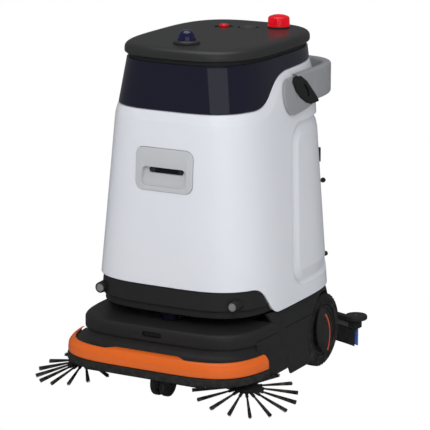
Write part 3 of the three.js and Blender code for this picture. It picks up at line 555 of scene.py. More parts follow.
def turned(profile, at=(0, 0, 0), axis=(0, 0, 1), segments=64):
    """A solid of revolution from (radius, height) pairs that start and end on the axis or close a loop."""
    rows, faces, points = [], [], []
    for radius, height in profile:
        if radius < 1e-6:
            rows.append([len(points)])
            points.append((0, 0, height))
        else:
            rows.append(list(range(len(points), len(points) + segments)))
            turns = [2 * math.pi * k / segments for k in range(segments)]
            points += [(radius * math.cos(a), radius * math.sin(a), height) for a in turns]
    if len(rows[0]) > 1:
        rows.append(rows[0])
    for low, high in zip(rows, rows[1:]):
        for k in range(segments):
            n = (k + 1) % segments
            ring = [low[k % len(low)], low[n % len(low)], high[n % len(high)], high[k % len(high)]]
            face = [v for i, v in enumerate(ring) if v not in ring[:i]]
            if len(face) > 2:
                faces.append(tuple(face))
    mesh = mesh_of(points, faces)
    way = Vector(axis).normalized()
    mesh.transform(Matrix.Translation(at) @ way.to_track_quat("Z", "Y").to_matrix().to_4x4())
    return mesh


estop_x, estop_y, estop_recess, estop_depth = -0.058, 0.143, 0.030, 0.012
power_x, power_y, power_recess, power_depth = 0.018, 0.166, 0.033, 0.009
bosses = [
    turned([(0, lid_top - depth - 0.006), (r + 0.006, lid_top - depth - 0.006),
            (r + 0.006, lid_top - 0.004), (0, lid_top - 0.004)], (x, y, 0))
    for x, y, r, depth in ((estop_x, estop_y, estop_recess, estop_depth),
                           (power_x, power_y, power_recess, power_depth))
]
pockets = [
    turned([(0, lid_top - depth), (r - 0.002, lid_top - depth), (r, lid_top - depth + 0.002),
            (r, lid_top - 0.002), (r + 0.0022, lid_top + 0.0004), (r + 0.0022, lid_top + 0.01),
            (0, lid_top + 0.01)], (x, y, 0))
    for x, y, r, depth in ((estop_x, estop_y, estop_recess, estop_depth),
                           (power_x, power_y, power_recess, power_depth))
]
lid_mesh = joined(joined(lid_mesh, "UNION", *bosses), "DIFFERENCE", *pockets)
add_piece("lid_cover", lid_mesh, "lid", lid_black, "black_plastic", "lid", sharp=30)

# ---------------------------------------------------------------- laser dome, buttons and beacon
# Bought-in parts screwed to the lid. The dome is smoked navy on a black collar, the stop button a
# red mushroom in its own socket, the start button a flush dark cap, the beacon a clear red lens.
dome_at = (0, -0.200, 0)
collar_black = moulded_look("collar_black", (0.022, 0.022, 0.024), (0.03, 0.03, 0.031), 0.28, 0.05, 1400,
                            0.05)
add_piece("dome_collar", turned([
    (0, lid_top + 0.0004), (0.0400, lid_top + 0.0004), (0.0415, lid_top + 0.0015),
    (0.0420, lid_top + 0.0040), (0.0412, lid_top + 0.0068), (0.0390, lid_top + 0.0092),
    (0.0360, lid_top + 0.0108), (0.0325, lid_top + 0.0116), (0.0302, lid_top + 0.0112),
    (0.0296, lid_top + 0.0100), (0, lid_top + 0.0100)], dome_at, segments=96),
    "lid", collar_black, "black_plastic", "lidar_dome")
dome_blue = moulded_look("dome_blue", (0.006, 0.0055, 0.045), (0.0045, 0.0042, 0.030), 0.05, 0.02, 60,
                         0.003, Coat_Weight=1.0, Coat_Roughness=0.02)
add_piece("dome_cap", turned([
    (0, lid_top + 0.0102), (0.0282, lid_top + 0.0102), (0.0280, lid_top + 0.0170),
    (0.0268, lid_top + 0.0235), (0.0250, lid_top + 0.0285), (0.0228, lid_top + 0.0328),
    (0.0198, lid_top + 0.0366), (0.0160, lid_top + 0.0394), (0.0118, lid_top + 0.0409),
    (0.0070, lid_top + 0.0417), (0, lid_top + 0.0420)], dome_at, segments=96),
    "lid", dome_blue, "visor_navy", "lidar_dome", sharp=60)

stop_at = (estop_x, estop_y, 0)
stop_base = lid_top - estop_depth + 0.0005
add_piece("stop_socket", turned([
    (0.0161, stop_base), (0.0285, stop_base), (0.0290, stop_base + 0.001), (0.0290, lid_top - 0.0058),
    (0.0278, lid_top - 0.0044), (0.0250, lid_top - 0.0040), (0.0175, lid_top - 0.0040),
    (0.0161, lid_top - 0.0052)],
    stop_at), "lid", collar_black, "rubber_black", "estop_collar")
button_red = moulded_look("button_red", (0.62, 0.006, 0.010), (0.54, 0.004, 0.007), 0.20, 0.04, 500, 0.01,
                          Coat_Weight=0.5, Coat_Roughness=0.08)
add_piece("stop_button", turned([
    (0, stop_base + 0.0055), (0.0120, stop_base + 0.0055), (0.0125, stop_base + 0.0062),
    (0.0125, lid_top - 0.0032), (0.0145, lid_top - 0.0026), (0.0154, lid_top - 0.0010),
    (0.0155, lid_top + 0.0030), (0.0148, lid_top + 0.0055), (0.0128, lid_top + 0.0075),
    (0.0090, lid_top + 0.0087), (0.0045, lid_top + 0.0090), (0, lid_top + 0.0090)],
    stop_at), "estop_button", button_red, "red_plastic", "estop_button")

power_at = (power_x, power_y, 0)
cap_black = moulded_look("cap_black", (0.035, 0.035, 0.036), (0.044, 0.044, 0.045), 0.30, 0.05, 1200, 0.04)
add_piece("start_button", turned([
    (0, lid_top - 0.0055), (0.0274, lid_top - 0.0055), (0.0280, lid_top - 0.0049),
    (0.0280, lid_top - 0.0012), (0.0270, lid_top + 0.0008), (0.0252, lid_top + 0.0017),
    (0.0232, lid_top + 0.0020), (0.0214, lid_top + 0.0015), (0.0206, lid_top + 0.0007),
    (0.0120, lid_top + 0.0001), (0, lid_top)], power_at, segments=96),
    "power_button", cap_black, "black_plastic", "power_button")

beacon_at = (0.105, 0.210, 0)
add_piece("beacon_base", turned([
    (0, lid_top + 0.0005), (0.0345, lid_top + 0.0005), (0.0350, lid_top + 0.0010),
    (0.0350, lid_top + 0.0040), (0.0340, lid_top + 0.0050), (0, lid_top + 0.0050)], beacon_at), "lid",
          collar_black, "black_plastic", "beacon_lens")
lens_red = moulded_look("lens_red", (0.86, 0.004, 0.022), (0.80, 0.003, 0.018), 0.06, 0.02, 300, 0.004,
                        Coat_Weight=0.4, Coat_Roughness=0.03, Transmission_Weight=0.55, IOR=1.45,
                        Emission_Color=(0.9, 0.003, 0.02, 1), Emission_Strength=0.16)
lens_profile = [
    (0, 0.0400), (0.0190, 0.0372), (0.0270, 0.0343), (0.0305, 0.0320), (0.0322, 0.0280), (0.0330, 0.0052),
    (0.0360, 0.0052), (0.0360, 0.0092), (0.0352, 0.0100), (0.0350, 0.0120), (0.0345, 0.0280),
    (0.0338, 0.0318), (0.0318, 0.0345), (0.0285, 0.0362), (0.0200, 0.0392), (0.0100, 0.0412), (0, 0.0420),
]
add_piece("beacon_shell", turned([(r, lid_top + h) for r, h in lens_profile], beacon_at, segments=96),
          "lid", lens_red, "lens_red", "beacon_lens", sharp=50)
chrome = moulded_look("chrome", (0.62, 0.62, 0.63), (0.55, 0.55, 0.56), 0.16, 0.05, 900, 0.01, Metallic=1.0)
add_piece("beacon_reflector", turned([
    (0, lid_top + 0.0052), (0.0150, lid_top + 0.0052), (0.0165, lid_top + 0.0080),
    (0.0240, lid_top + 0.0160), (0.0270, lid_top + 0.0240), (0.0262, lid_top + 0.0244),
    (0.0120, lid_top + 0.0170), (0.0060, lid_top + 0.0180), (0.0060, lid_top + 0.0240),
    (0.0045, lid_top + 0.0270), (0, lid_top + 0.0280)], beacon_at, segments=48),
    "lid", chrome, "steel", "beacon_lens")

# ---------------------------------------------------------------- camera bezel in the front
# A light grey moulded plate let into the casing. A scoop rises to a slot with rounded ends, and
# the depth camera looks out through a dark window at the bottom of the slot.
plate_grey = moulded_look("plate_grey", (0.50, 0.51, 0.525), (0.45, 0.46, 0.475), 0.30, 0.05, 1500, 0.05)
window_black = moulded_look("window_black", (0.004, 0.004, 0.005), (0.006, 0.006, 0.007), 0.12, 0.02, 90,
                            0.004)
solid_shares = np.linspace(0, 1, 300, endpoint=False)


def casing_solid(low, high, inset):
    """The casing as a solid block from one height to another, set in by an inset."""
    shoulder = casing_heights[1]
    heights = (low, shoulder, high) if low < shoulder < high else (low, high)
    return skinned([casing_points(z, inset, solid_shares) for z in heights])


bezel_half, bezel_foot, bezel_head, bezel_corner = 0.100, 0.650, 0.782, 0.026
slot_z, scoop_half, scoop_foot, scoop_depth = 0.717, 0.078, 0.664, 0.019
bezel_face = float(casing_points(slot_z, 0, np.array([0.75]))[0, 1])
bezel_mesh = joined(
    prism(rounded_rectangle(-bezel_half, bezel_half, bezel_foot, bezel_head, bezel_corner, 12),
          bezel_face - 0.03, bezel_face + 0.03, "Y"), "INTERSECT", casing_solid(0.60, 0.86, -0.0022))
bezel_mesh = softened(bezel_mesh, 0.0030, 3)
scoop = prism(rounded_rectangle(-scoop_half, scoop_half, scoop_foot, slot_z + 0.006, 0.016, 10),
              bezel_face - 0.05, bezel_face, "Y")
for vertex in scoop.vertices:
    if vertex.co.y > bezel_face - 0.01:
        rise = max(0.0, vertex.co.z - scoop_foot) / (slot_z + 0.006 - scoop_foot)
        surface = bezel_face - 0.0022 - (vertex.co.z - slot_z) * 0.068
        vertex.co.y = surface + scoop_depth * math.sin(rise * math.pi / 2) ** 1.2 - 0.0002
slot_cut = prism(rounded_rectangle(-0.061, 0.061, slot_z - 0.0155, slot_z + 0.0030, 0.0090, 8),
                 bezel_face - 0.02, bezel_face + 0.04, "Y")
bezel_mesh = softened(joined(bezel_mesh, "DIFFERENCE", scoop, slot_cut), 0.0012, 2, 40)
add_piece("bezel_plate", bezel_mesh, "chassis", plate_grey, "silver_plastic", "front_bezel", sharp=28)
slot_window = prism(rounded_rectangle(-0.0605, 0.0605, slot_z - 0.0150, slot_z + 0.0025, 0.0085, 6),
                    bezel_face + 0.0195, bezel_face + 0.0290, "Y")
add_piece("slot_window", slot_window, "chassis", window_black, "visor_navy")
for side in (-1, 1):
    cheek = prism(rounded_rectangle(-0.0075, 0.0075, slot_z - 0.0140, slot_z + 0.0015, 0.0070, 6),
                  bezel_face + 0.0180, bezel_face + 0.0200, "Y")
    cheek.transform(Matrix.Translation((side * 0.0485, 0, 0)))
    add_piece(f"slot_cheek_{'left' if side > 0 else 'right'}", cheek, "chassis", collar_black,
              "black_plastic")


def bezel_block(grow, depth):
    """A block on the bezel's outline, grown all round, reaching a depth either side of its face."""
    points = rounded_rectangle(-bezel_half - grow, bezel_half + grow, bezel_foot - grow, bezel_head + grow,
                               bezel_corner + grow, 12)
    return prism(points, bezel_face - depth, bezel_face + depth, "Y")


# Painted shade: a black strip sunk in the gap round the bezel, below the casing's face, darkens the gap
# where its own shadow falls.
gap_shade_strip = joined(bezel_block(0.0011, 0.03), "DIFFERENCE", bezel_block(-0.0070, 0.04))
gap_shade_strip = joined(joined(gap_shade_strip, "INTERSECT", casing_solid(0.60, 0.86, 0.0022)),
                "DIFFERENCE", casing_solid(0.59, 0.87, 0.0038))
gap_shade_strip = joined(gap_shade_strip, "DIFFERENCE", bezel_block(0.0002, 0.04))
add_piece("bezel_gap_shade", gap_shade_strip, "chassis", collar_black, "black_plastic")


def refined(node, width, steps=2, angle=30):
    """A CAD node's shape with its loose triangles merged, its flats made whole and its edges rounded."""
    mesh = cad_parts[node].data.copy()
    work = bmesh.new()
    work.from_mesh(mesh)
    bmesh.ops.remove_doubles(work, verts=work.verts, dist=2e-5)
    bmesh.ops.dissolve_limit(work, angle_limit=math.radians(0.4), verts=work.verts, edges=work.edges)
    work.to_mesh(mesh)
    work.free()
    mesh.materials.clear()
    if "custom_normal" in mesh.attributes:
        mesh.attributes.remove(mesh.attributes["custom_normal"])
    return softened(mesh, width, steps, angle) if width else mesh


rubber_black = moulded_look("rubber_black", (0.012, 0.012, 0.012), (0.017, 0.017, 0.016), 0.62, 0.10, 1100,
                            0.22, 0.06)
add_piece("camera_body", refined("depth_camera", 0.002), "chassis", rubber_black, "rubber_black",
          "depth_camera")

# ---------------------------------------------------------------- push handle and its side cameras
# A thick hand loop round the back in grey plastic, screwed to the casing by a broad root pad on
# each side. A black slanted cover in each root holds a camera behind a long slot.
handle_grey = moulded_look("handle_grey", (0.30, 0.305, 0.32), (0.265, 0.27, 0.283), 0.36, 0.06, 1300, 0.08)
handle_half, handle_front, handle_rear, handle_corner = 0.262, -0.220, 0.380, 4.6
handle_foot, handle_head, handle_thick, handle_round = 0.872, 0.976, 0.026, 0.0105


def eased(points, rounds=3):
    """A closed outline with its corners cut again and again, which rounds them."""
    points = np.asarray(points, float)
    for _ in range(rounds):
        after = np.roll(points, -1, axis=0)
        points = np.stack([points * 0.75 + after * 0.25, points * 0.25 + after * 0.75], 1).reshape(-1, 2)
    return [tuple(p) for p in points]


def counter_clockwise(points):
    """The outline, turned round if it runs clockwise."""
    area = sum(a[0] * b[1] - b[0] * a[1] for a, b in zip(points, points[1:] + points[:1]))
    return points if area > 0 else points[::-1]


loop_rows = []
for back, z in rounded_rectangle(-handle_thick, 0, handle_foot, handle_head, handle_round, 6):
    loop_rows.append(level_ring(handle_half, handle_front, handle_rear, handle_corner, z, -back,
                                solid_shares))
loop_start = counter_clockwise([(-0.6, 1.1), (0.03, 1.1), (0.03, 0.99), (0.11, 0.86), (0.11, 0.70),
                                (-0.6, 0.70)])
loop_mesh = joined(skinned(loop_rows, looped=True), "DIFFERENCE",
                   prism(loop_start, -0.6, 0.6, "X"), casing_solid(0.80, 1.0385, -0.001))
pad_points = eased([(-0.040, 0.932), (-0.026, 0.960), (0.002, 0.968), (0.130, 0.968), (0.172, 0.880),
                    (0.150, 0.862), (0.020, 0.850), (-0.010, 0.853), (-0.034, 0.882)], 3)
pad_mesh = prism(counter_clockwise(pad_points), 0.10, 0.30, "X")
pad_mesh = joined(pad_mesh, "INTERSECT", casing_solid(0.80, 1.0385, -0.0105))
pad_mesh = joined(pad_mesh, "DIFFERENCE", casing_solid(0.79, 1.0390, -0.001))
pad_mesh = softened(pad_mesh, 0.0035, 3, 40)


def beside_casing(reach_out, stand_off):
    """The room beside the casing from a stand-off out to x = reach_out."""
    return joined(block(-0.10, 0.80, 0.30, 1.0, 0.10, reach_out),
                  "DIFFERENCE", casing_solid(0.79, 1.01, -stand_off))


cover_points = [(0.010, 0.966), (0.074, 0.966), (0.186, 0.872), (0.186, 0.866), (0.118, 0.866),
                (0.040, 0.910)]
cover_outline = counter_clockwise(eased(cover_points, 1))
room_points = [(0.008, 0.968), (0.075, 0.968), (0.1875, 0.8735), (0.1875, 0.8645), (0.117, 0.8645),
               (0.038, 0.909)]
cover_room = joined(prism(counter_clockwise(eased(room_points, 1)), 0.10, 0.30, "X"),
                    "INTERSECT", beside_casing(0.30, 0.006))
handle_mesh = joined(loop_mesh, "UNION", pad_mesh, mirrored(pad_mesh))
handle_mesh = joined(handle_mesh, "DIFFERENCE", cover_room, mirrored(cover_room))
add_piece("handle_loop", softened(handle_mesh, 0.0010, 1, 50), "chassis", handle_grey, "silver_plastic",
          "push_handle", sharp=40)
cover_mesh = joined(prism(cover_outline, 0.10, 0.2625, "X"), "INTERSECT", beside_casing(0.2625, 0.0072))
eye_slot = [(0.066, 0.938), (0.094, 0.938), (0.130, 0.894), (0.102, 0.894)]
cover_mesh = joined(cover_mesh, "DIFFERENCE",
                    prism(counter_clockwise(eased(eye_slot, 3)), 0.2575, 0.30, "X"))
add_pair("camera_cover", softened(cover_mesh, 0.0016, 2, 40), "chassis", satin_black, "rubber_black",
         "handle_camera", True)
glass_points = [(0.068, 0.9365), (0.0935, 0.9365), (0.1285, 0.8955), (0.1025, 0.8955)]
eye_glass = prism(counter_clockwise(eased(glass_points, 3)), 0.2565, 0.2585, "X")
add_pair("camera_glass", eye_glass, "chassis", window_black, "visor_navy", "handle_camera", True)

# ---------------------------------------------------------------- rear door, latch and service knobs
# The door is a moulded panel on hidden hinges at its right edge, closed by a quarter-turn latch.
# Two black knobs beside it clamp the hose ports.
door_mesh = joined(prism(rounded_rectangle(-0.222, 0.222, 0.300, 0.800, 0.030, 10), 0.15, 0.40, "Y"),
                   "INTERSECT", casing_solid(0.28, 0.82, 0.0))
door_mesh = joined(door_mesh, "DIFFERENCE", casing_solid(0.27, 0.83, 0.0045))
door_mesh = softened(door_mesh, 0.0016, 2, 45)
add_piece("door_panel", door_mesh, "rear_door", gloss_white, "shell_white", "rear_door", sharp=35)
bead_outer = prism(rounded_rectangle(-0.190, 0.176, 0.335, 0.765, 0.040, 10), 0.15, 0.45, "Y")
bead_inner = prism(rounded_rectangle(-0.182, 0.168, 0.343, 0.757, 0.033, 10), 0.10, 0.50, "Y")
bead = joined(joined(bead_outer, "DIFFERENCE", bead_inner), "INTERSECT", casing_solid(0.28, 0.82, -0.0018))
bead = joined(bead, "DIFFERENCE", casing_solid(0.27, 0.83, 0.001))
add_piece("door_bead", softened(bead, 0.0009, 2, 45), "rear_door", gloss_white, "shell_white", sharp=35)
add_piece("latch_grip", refined("rear_latch", 0.0022, 3), "rear_latch", rubber_black, "rubber_black",
          "rear_latch")
for where in ("lower", "upper"):
    low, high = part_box(f"rear_knob_{where}")
    middle = (low + high) / 2
    grip = turned([(0, 0), (0.0038, 0), (0.0038, 0.024), (0.0072, 0.0245), (0.0080, 0.0255),
                   (0.0080, 0.0315), (0.0068, 0.0330), (0, 0.0333)], (middle.x, high.y - 0.0333, middle.z),
                  (0, 1, 0), 32)
    add_piece(f"knob_{where}", grip, "chassis", rubber_black, "rubber_black", f"rear_knob_{where}")

# ---------------------------------------------------------------- front cowl, sonars and laser
# The black cowl wraps the front of the casing's foot, and a second step sits back under it. Two
# sonar transducers stand on stubs at its corners, and the floor laser looks out of the gap below.
cover_black = moulded_look("cover_black", (0.0165, 0.0165, 0.0168), (0.0205, 0.0205, 0.0205), 0.42, 0.08,
                           1400, 0.12, 0.02, Specular_IOR_Level=0.28)
cowl_foot, cowl_inset, cowl_wall, cowl_rear = 0.292, 0.007, 0.008, -0.160
cowl_brim = edge_on_casing(cowl_ys, cowl_zs, 0.004, solid_shares) - 0.0008
foot_round, brim_round, least_height = 0.004, 0.003, 0.006
brim = np.maximum(cowl_brim, cowl_foot + least_height)
quarter_turn = np.linspace(0, math.pi / 2, 6)
cowl_profile = [
    (cowl_foot + foot_round * (1 - math.sin(a)), cowl_inset + foot_round * (1 - math.cos(a)))
    for a in quarter_turn[::-1]
]
for v in np.linspace(0, 1, 9)[1:-1]:
    cowl_profile.append((cowl_foot + foot_round + (brim - cowl_foot - least_height) * v, cowl_inset))
for a in quarter_turn:
    cowl_profile.append((brim - brim_round * (1 - math.sin(a)),
                         cowl_inset + brim_round * (1 - math.cos(a))))
cowl_profile += [(brim, cowl_inset + cowl_wall), (cowl_foot, cowl_inset + cowl_wall)]
cowl_rows = [casing_points(z, inset, solid_shares) for z, inset in cowl_profile]
front_room = block(-0.6, -0.1, cowl_rear, 1.0)
cowl_mesh = joined(skinned(cowl_rows, looped=True), "INTERSECT", front_room)
add_piece("cowl_band", cowl_mesh, "chassis", cover_black, "black_plastic", "front_cowl", sharp=40)
step_profile = [(0.2680, 0.0205), (0.2690, 0.0185), (0.2710, 0.0180), (0.2900, 0.0180), (0.2960, 0.0182),
                (0.2960, 0.0262), (0.2680, 0.0262)]
step_rows = [casing_points(z, inset, solid_shares) for z, inset in step_profile]
step_mesh = joined(skinned(step_rows, looped=True), "INTERSECT", front_room)
add_piece("cowl_step", step_mesh, "chassis", cover_black, "black_plastic", "front_cowl", sharp=40)
sonar_x, sonar_z, sonar_face = 0.236, 0.313, -0.342
stub = turned([(0, -0.050), (0.0190, -0.050), (0.0176, -0.012), (0.0170, -0.0020), (0.0160, -0.0004),
               (0.0146, 0.0), (0.0138, -0.0006), (0.0135, -0.0014), (0.0135, -0.0045), (0, -0.0045)],
              (sonar_x, sonar_face, sonar_z), (0, -1, 0), 48)
add_pair("sonar_stub", stub, "chassis", cover_black, "black_plastic", "sonar", True)
sonar_grey = moulded_look("sonar_grey", (0.205, 0.205, 0.207), (0.175, 0.175, 0.177), 0.42, 0.06, 1600,
                          0.10)
disc = turned([(0, -0.0060), (0.0130, -0.0060), (0.0130, -0.0024), (0.0122, -0.0016), (0.0116, -0.0020),
               (0.0112, -0.0026), (0.0060, -0.0022), (0, -0.0020)], (sonar_x, sonar_face, sonar_z),
              (0, -1, 0), 48)
add_pair("sonar_disc", disc, "chassis", sonar_grey, "silver_plastic", "sonar", True)
add_piece("laser_scanner", refined("nav_lidar", 0.002, 3), "chassis", navy_gloss, "visor_navy", "nav_lidar")

# ---------------------------------------------------------------- deck cover and its floor sensor
# One black moulding over the brushes in two tiers. The lower one is a flat shelf inside the
# bumper, and the upper one overhangs it a little, so a shadow line runs between them.
bumper_half, bumper_front, bumper_corner, bumper_back = 0.347, -0.490, 4.5, -0.298
deck_half, deck_front, deck_corner, deck_rear = 0.308, -0.424, 5.0, 0.330
deck_clear, deck_wall = 0.022, 0.024
seam_low, seam_high, seam_depth = 0.2005, 0.2023, 0.003
tier_foot, tier_inset = 0.1905, 0.0085


def shelf_ring(z, inset):
    """The bumper's outline at height z, which the deck's lower tier follows."""
    return level_ring(bumper_half, bumper_front, deck_rear, bumper_corner, z, inset, solid_shares)


def deck_ring(z, inset):
    """The outline of the deck's upper tier at height z."""
    return level_ring(deck_half, deck_front, deck_rear, deck_corner, z, inset, solid_shares)


shelf_top, shelf_rise, shelf_inset = 0.1606, 0.0260, deck_clear + 0.0045
deck_rows = [shelf_ring(0.1020, deck_clear), shelf_ring(0.1560, deck_clear),
             shelf_ring(0.1585, deck_clear + 0.0007), shelf_ring(0.1600, deck_clear + 0.0022),
             shelf_ring(shelf_top, shelf_inset)]
for q in np.linspace(0, 1, 12)[1:]:
    ring = shelf_ring(0, shelf_inset) * (1 - q) + deck_ring(0, tier_inset) * q
    ring[:, 2] = shelf_top + shelf_rise * q ** 3
    deck_rows.append(ring)
deck_rows += [deck_ring(tier_foot, tier_inset), deck_ring(tier_foot, 0.0045), deck_ring(0.1912, 0.0016),
              deck_ring(0.1930, 0.0003), deck_ring(0.1950, 0.0)]
tier_head, crown_rise, crown_inset = 0.2360, 0.0150, 0.0175
deck_rows += [deck_ring(z, 0.0) for z in (0.205, 0.215)]
for k in range(1, 9):
    a = math.pi / 2 * k / 8
    deck_rows.append(deck_ring(tier_head - crown_rise * (1 - math.sin(a)), crown_inset * (1 - math.cos(a))))
side_start, split_foot, split_head = -0.296, -0.104, -0.205
behind_bumper = block(side_start, 0.0, 0.6, tier_foot)
deck_side = joined(skinned([deck_ring(0.068, 0.0), deck_ring(0.1960, 0.0)]), "INTERSECT",
                   block(side_start, 0.0, 0.6, 0.3))
deck_solid = joined(joined(skinned(deck_rows), "DIFFERENCE", behind_bumper), "UNION", deck_side)
deck_hollow = skinned([deck_ring(0.05, deck_wall), deck_ring(0.230, deck_wall)])
shelf_hollow = skinned([shelf_ring(0.09, deck_clear + 0.006), shelf_ring(0.154, deck_clear + 0.006)])
deck_skirt_hollow = joined(shelf_hollow, "INTERSECT",
                           block(-0.6, 0.0, side_start - 0.006, 0.3))
deck_back = prism([(split_foot - 0.001, 0.0), (0.6, 0.0), (0.6, 0.5), (split_head - 0.001, 0.5),
                   (split_head - 0.001, 0.264), (split_foot - 0.001, 0.068)], -0.6, 0.6, "X")
eye_hole = prism(rounded_rectangle(-0.034, 0.034, 0.2055, 0.2225, 0.0082, 8), deck_front - 0.01,
                 deck_front + 0.08, "Y")
deck_seam = joined(block(-0.300, seam_low, -0.10, seam_high),
                   "DIFFERENCE", skinned([deck_ring(0.18, seam_depth), deck_ring(0.22, seam_depth)]))
deck_mesh = joined(deck_solid, "DIFFERENCE", deck_hollow, deck_skirt_hollow, deck_back, eye_hole, deck_seam)
add_piece("deck_shell", deck_mesh, "chassis", cover_black, "black_plastic", "deck_cover", sharp=35)
eye_window = prism(rounded_rectangle(-0.0335, 0.0335, 0.2060, 0.2220, 0.0078, 8), deck_front + 0.0035,
                   deck_front + 0.026, "Y")
add_piece("floor_eye", softened(eye_window, 0.0010, 2), "chassis", window_black, "visor_navy",
          "floor_sensor")
for k in range(5):
    dot = turned([(0, 0), (0.0021, 0), (0.0024, 0.0006), (0.0021, 0.0014), (0, 0.0018)],
                 (-0.020 + 0.010 * k, deck_front + 0.0036, 0.214), (0, -1, 0), 20)
    add_piece(f"floor_eye_lens_{k + 1}", dot, "chassis", satin_black, "black_plastic")

# ---------------------------------------------------------------- side skirts and charging plate
# Two black mouldings close the sides below the casing, from the deck round to the back, with a
# joint line along them. The charging plate between them at the back carries two copper contacts.
skirt_half, skirt_front, skirt_rear = 0.306, -0.374, 0.334
skirt_shares = np.linspace(0, 1, 360, endpoint=False)


def skirt_ring(z, inset):
    """The skirts' outline at height z, which carries on the casing's foot."""
    return level_ring(skirt_half, skirt_front, skirt_rear, casing_corners[0], z, inset, skirt_shares)


skirt_profile = [(0.0300, 0.0), (0.120, 0.0), (0.185, 0.0), (0.205, 0.0004), (0.222, 0.0018),
                 (0.238, 0.0046), (0.252, 0.0085), (0.2600, 0.0115), (0.2630, 0.0135), (0.2630, 0.0200),
                 (0.200, 0.0075), (0.0300, 0.0060)]
skirt_side = counter_clockwise([(split_foot, 0.068), (-0.092, 0.068), (-0.078, 0.042), (0.168, 0.042),
                                (0.168, 0.150), (0.60, 0.150), (0.60, 0.264), (split_head, 0.264)])
skirt_mesh = joined(skinned([skirt_ring(z, inset) for z, inset in skirt_profile], looped=True),
                    "INTERSECT", prism(skirt_side, 0.001, 0.6, "X"))
wheel_y, wheel_radius, wheel_face, wheel_width = 0.168, 0.120, 0.298, 0.046
room_radius = wheel_radius + 0.008
wheel_room = turned([(0, 0.230), (room_radius, 0.230), (room_radius, 0.50), (0, 0.50)],
                    (0, wheel_y, wheel_radius), (1, 0, 0), 96)
plate_room = prism([(-0.061, 0.175), (0.061, 0.175), (0.061, 0.237), (-0.061, 0.237)], 0.20, 0.60, "Y")
side_seam = joined(block(-0.12, seam_low, 0.110, seam_high, 0.1, 0.6),
                   "DIFFERENCE", skinned([skirt_ring(0.18, seam_depth), skirt_ring(0.22, seam_depth)]))
skirt_mesh = joined(skirt_mesh, "DIFFERENCE", wheel_room, plate_room, side_seam)
add_pair("skirt", softened(skirt_mesh, 0.0010, 2, 50), "chassis", cover_black, "black_plastic",
         "side_skirt", True, sharp=35)
copper = moulded_look("copper", (0.50, 0.24, 0.11), (0.42, 0.18, 0.08), 0.28, 0.08, 700, 0.03, Metallic=1.0)
contact_low, contact_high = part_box("charge_contacts")
dock_plate = prism(rounded_rectangle(-0.060, 0.060, contact_low.z, contact_high.z, 0.006, 6), contact_low.y,
                   contact_high.y - 0.003, "Y")
add_piece("dock_plate", softened(dock_plate, 0.0015, 2), "chassis", satin_black, "black_plastic",
          "charge_contacts")
for side in (-1, 1):
    strip = prism(rounded_rectangle(-0.009, 0.009, 0.190, 0.222, 0.004, 6), contact_high.y - 0.0040,
                  contact_high.y, "Y")
    strip.transform(Matrix.Translation((side * 0.021, 0, 0)))
    add_piece(f"dock_contact_{'left' if side > 0 else 'right'}", softened(strip, 0.0010, 2), "chassis",
              copper, "contact_metal", "charge_contacts")

# ---------------------------------------------------------------- wheel fairings
# A chamfered crescent in front of each drive wheel hides its leading half. An orange reflector
# strip is pressed into an arc-shaped channel in its face.
fairing_y, fairing_z, fairing_radius, fairing_base, fairing_face = 0.208, 0.138, 0.104, 0.301, 0.319
fairing_depth = fairing_face - fairing_base
fairing_disc = turned([
    (0, 0), (fairing_radius, 0), (fairing_radius, 0.0050), (fairing_radius - 0.0010, 0.0066),
    (fairing_radius - 0.0125, fairing_depth - 0.0012), (fairing_radius - 0.0145, fairing_depth - 0.0002),
    (fairing_radius - 0.0170, fairing_depth), (0, fairing_depth)],
    (fairing_base, fairing_y, fairing_z), (1, 0, 0), 128)
arc_y, arc_z, arc_radius = fairing_y - 0.134, fairing_z - 0.028, 0.112
fairing_arc = turned([(0, 0.2), (arc_radius, 0.2), (arc_radius, 0.5), (0, 0.5)], (0, arc_y, arc_z),
                     (1, 0, 0), 160)


def arc_strip(radius, width, start, stop, low, high, at=(0.0, 0.0)):
    """A flat strip bent along an arc in the Y-Z plane, from low to high along X."""
    turns = np.radians(np.linspace(start, stop, 48))
    path = [(radius + width / 2, a) for a in turns] + [(radius - width / 2, a) for a in turns[::-1]]
    strip = [(at[0] + r * math.cos(a), at[1] + r * math.sin(a)) for r, a in path]
    return prism(counter_clockwise(strip), low, high, "X")


strip_radius, strip_start, strip_stop = 0.0950, -32, 50
channel = arc_strip(strip_radius, 0.0068, strip_start - 1, strip_stop + 1, fairing_face - 0.0020, 0.34,
                    (arc_y, arc_z))
ridge = arc_strip(strip_radius + 0.0092, 0.0030, strip_start, strip_stop, fairing_face - 0.0010, 0.34,
                  (arc_y, arc_z))
fairing_mesh = joined(joined(fairing_disc, "INTERSECT", fairing_arc), "DIFFERENCE", channel, ridge)
rim_notch = block(0.08, 0.1995, 0.135, 0.2020, 0.314, 0.33)
fairing_mesh = joined(fairing_mesh, "DIFFERENCE", rim_notch)
add_pair("fairing", softened(fairing_mesh, 0.0007, 2, 50), "chassis", cover_black, "black_plastic",
         "wheel_fairing", True, sharp=22)
reflector_orange = moulded_look("reflector_orange", (0.62, 0.085, 0.010), (0.54, 0.07, 0.008), 0.25, 0.05,
                                700, 0.02, Coat_Weight=0.4)
reflector = softened(arc_strip(strip_radius, 0.0062, strip_start, strip_stop, fairing_face - 0.0018,
                               fairing_face + 0.0006, (arc_y, arc_z)), 0.0006, 2)
add_pair("fairing_reflector", reflector, "chassis", reflector_orange, "trim_orange", "wheel_fairing", True)

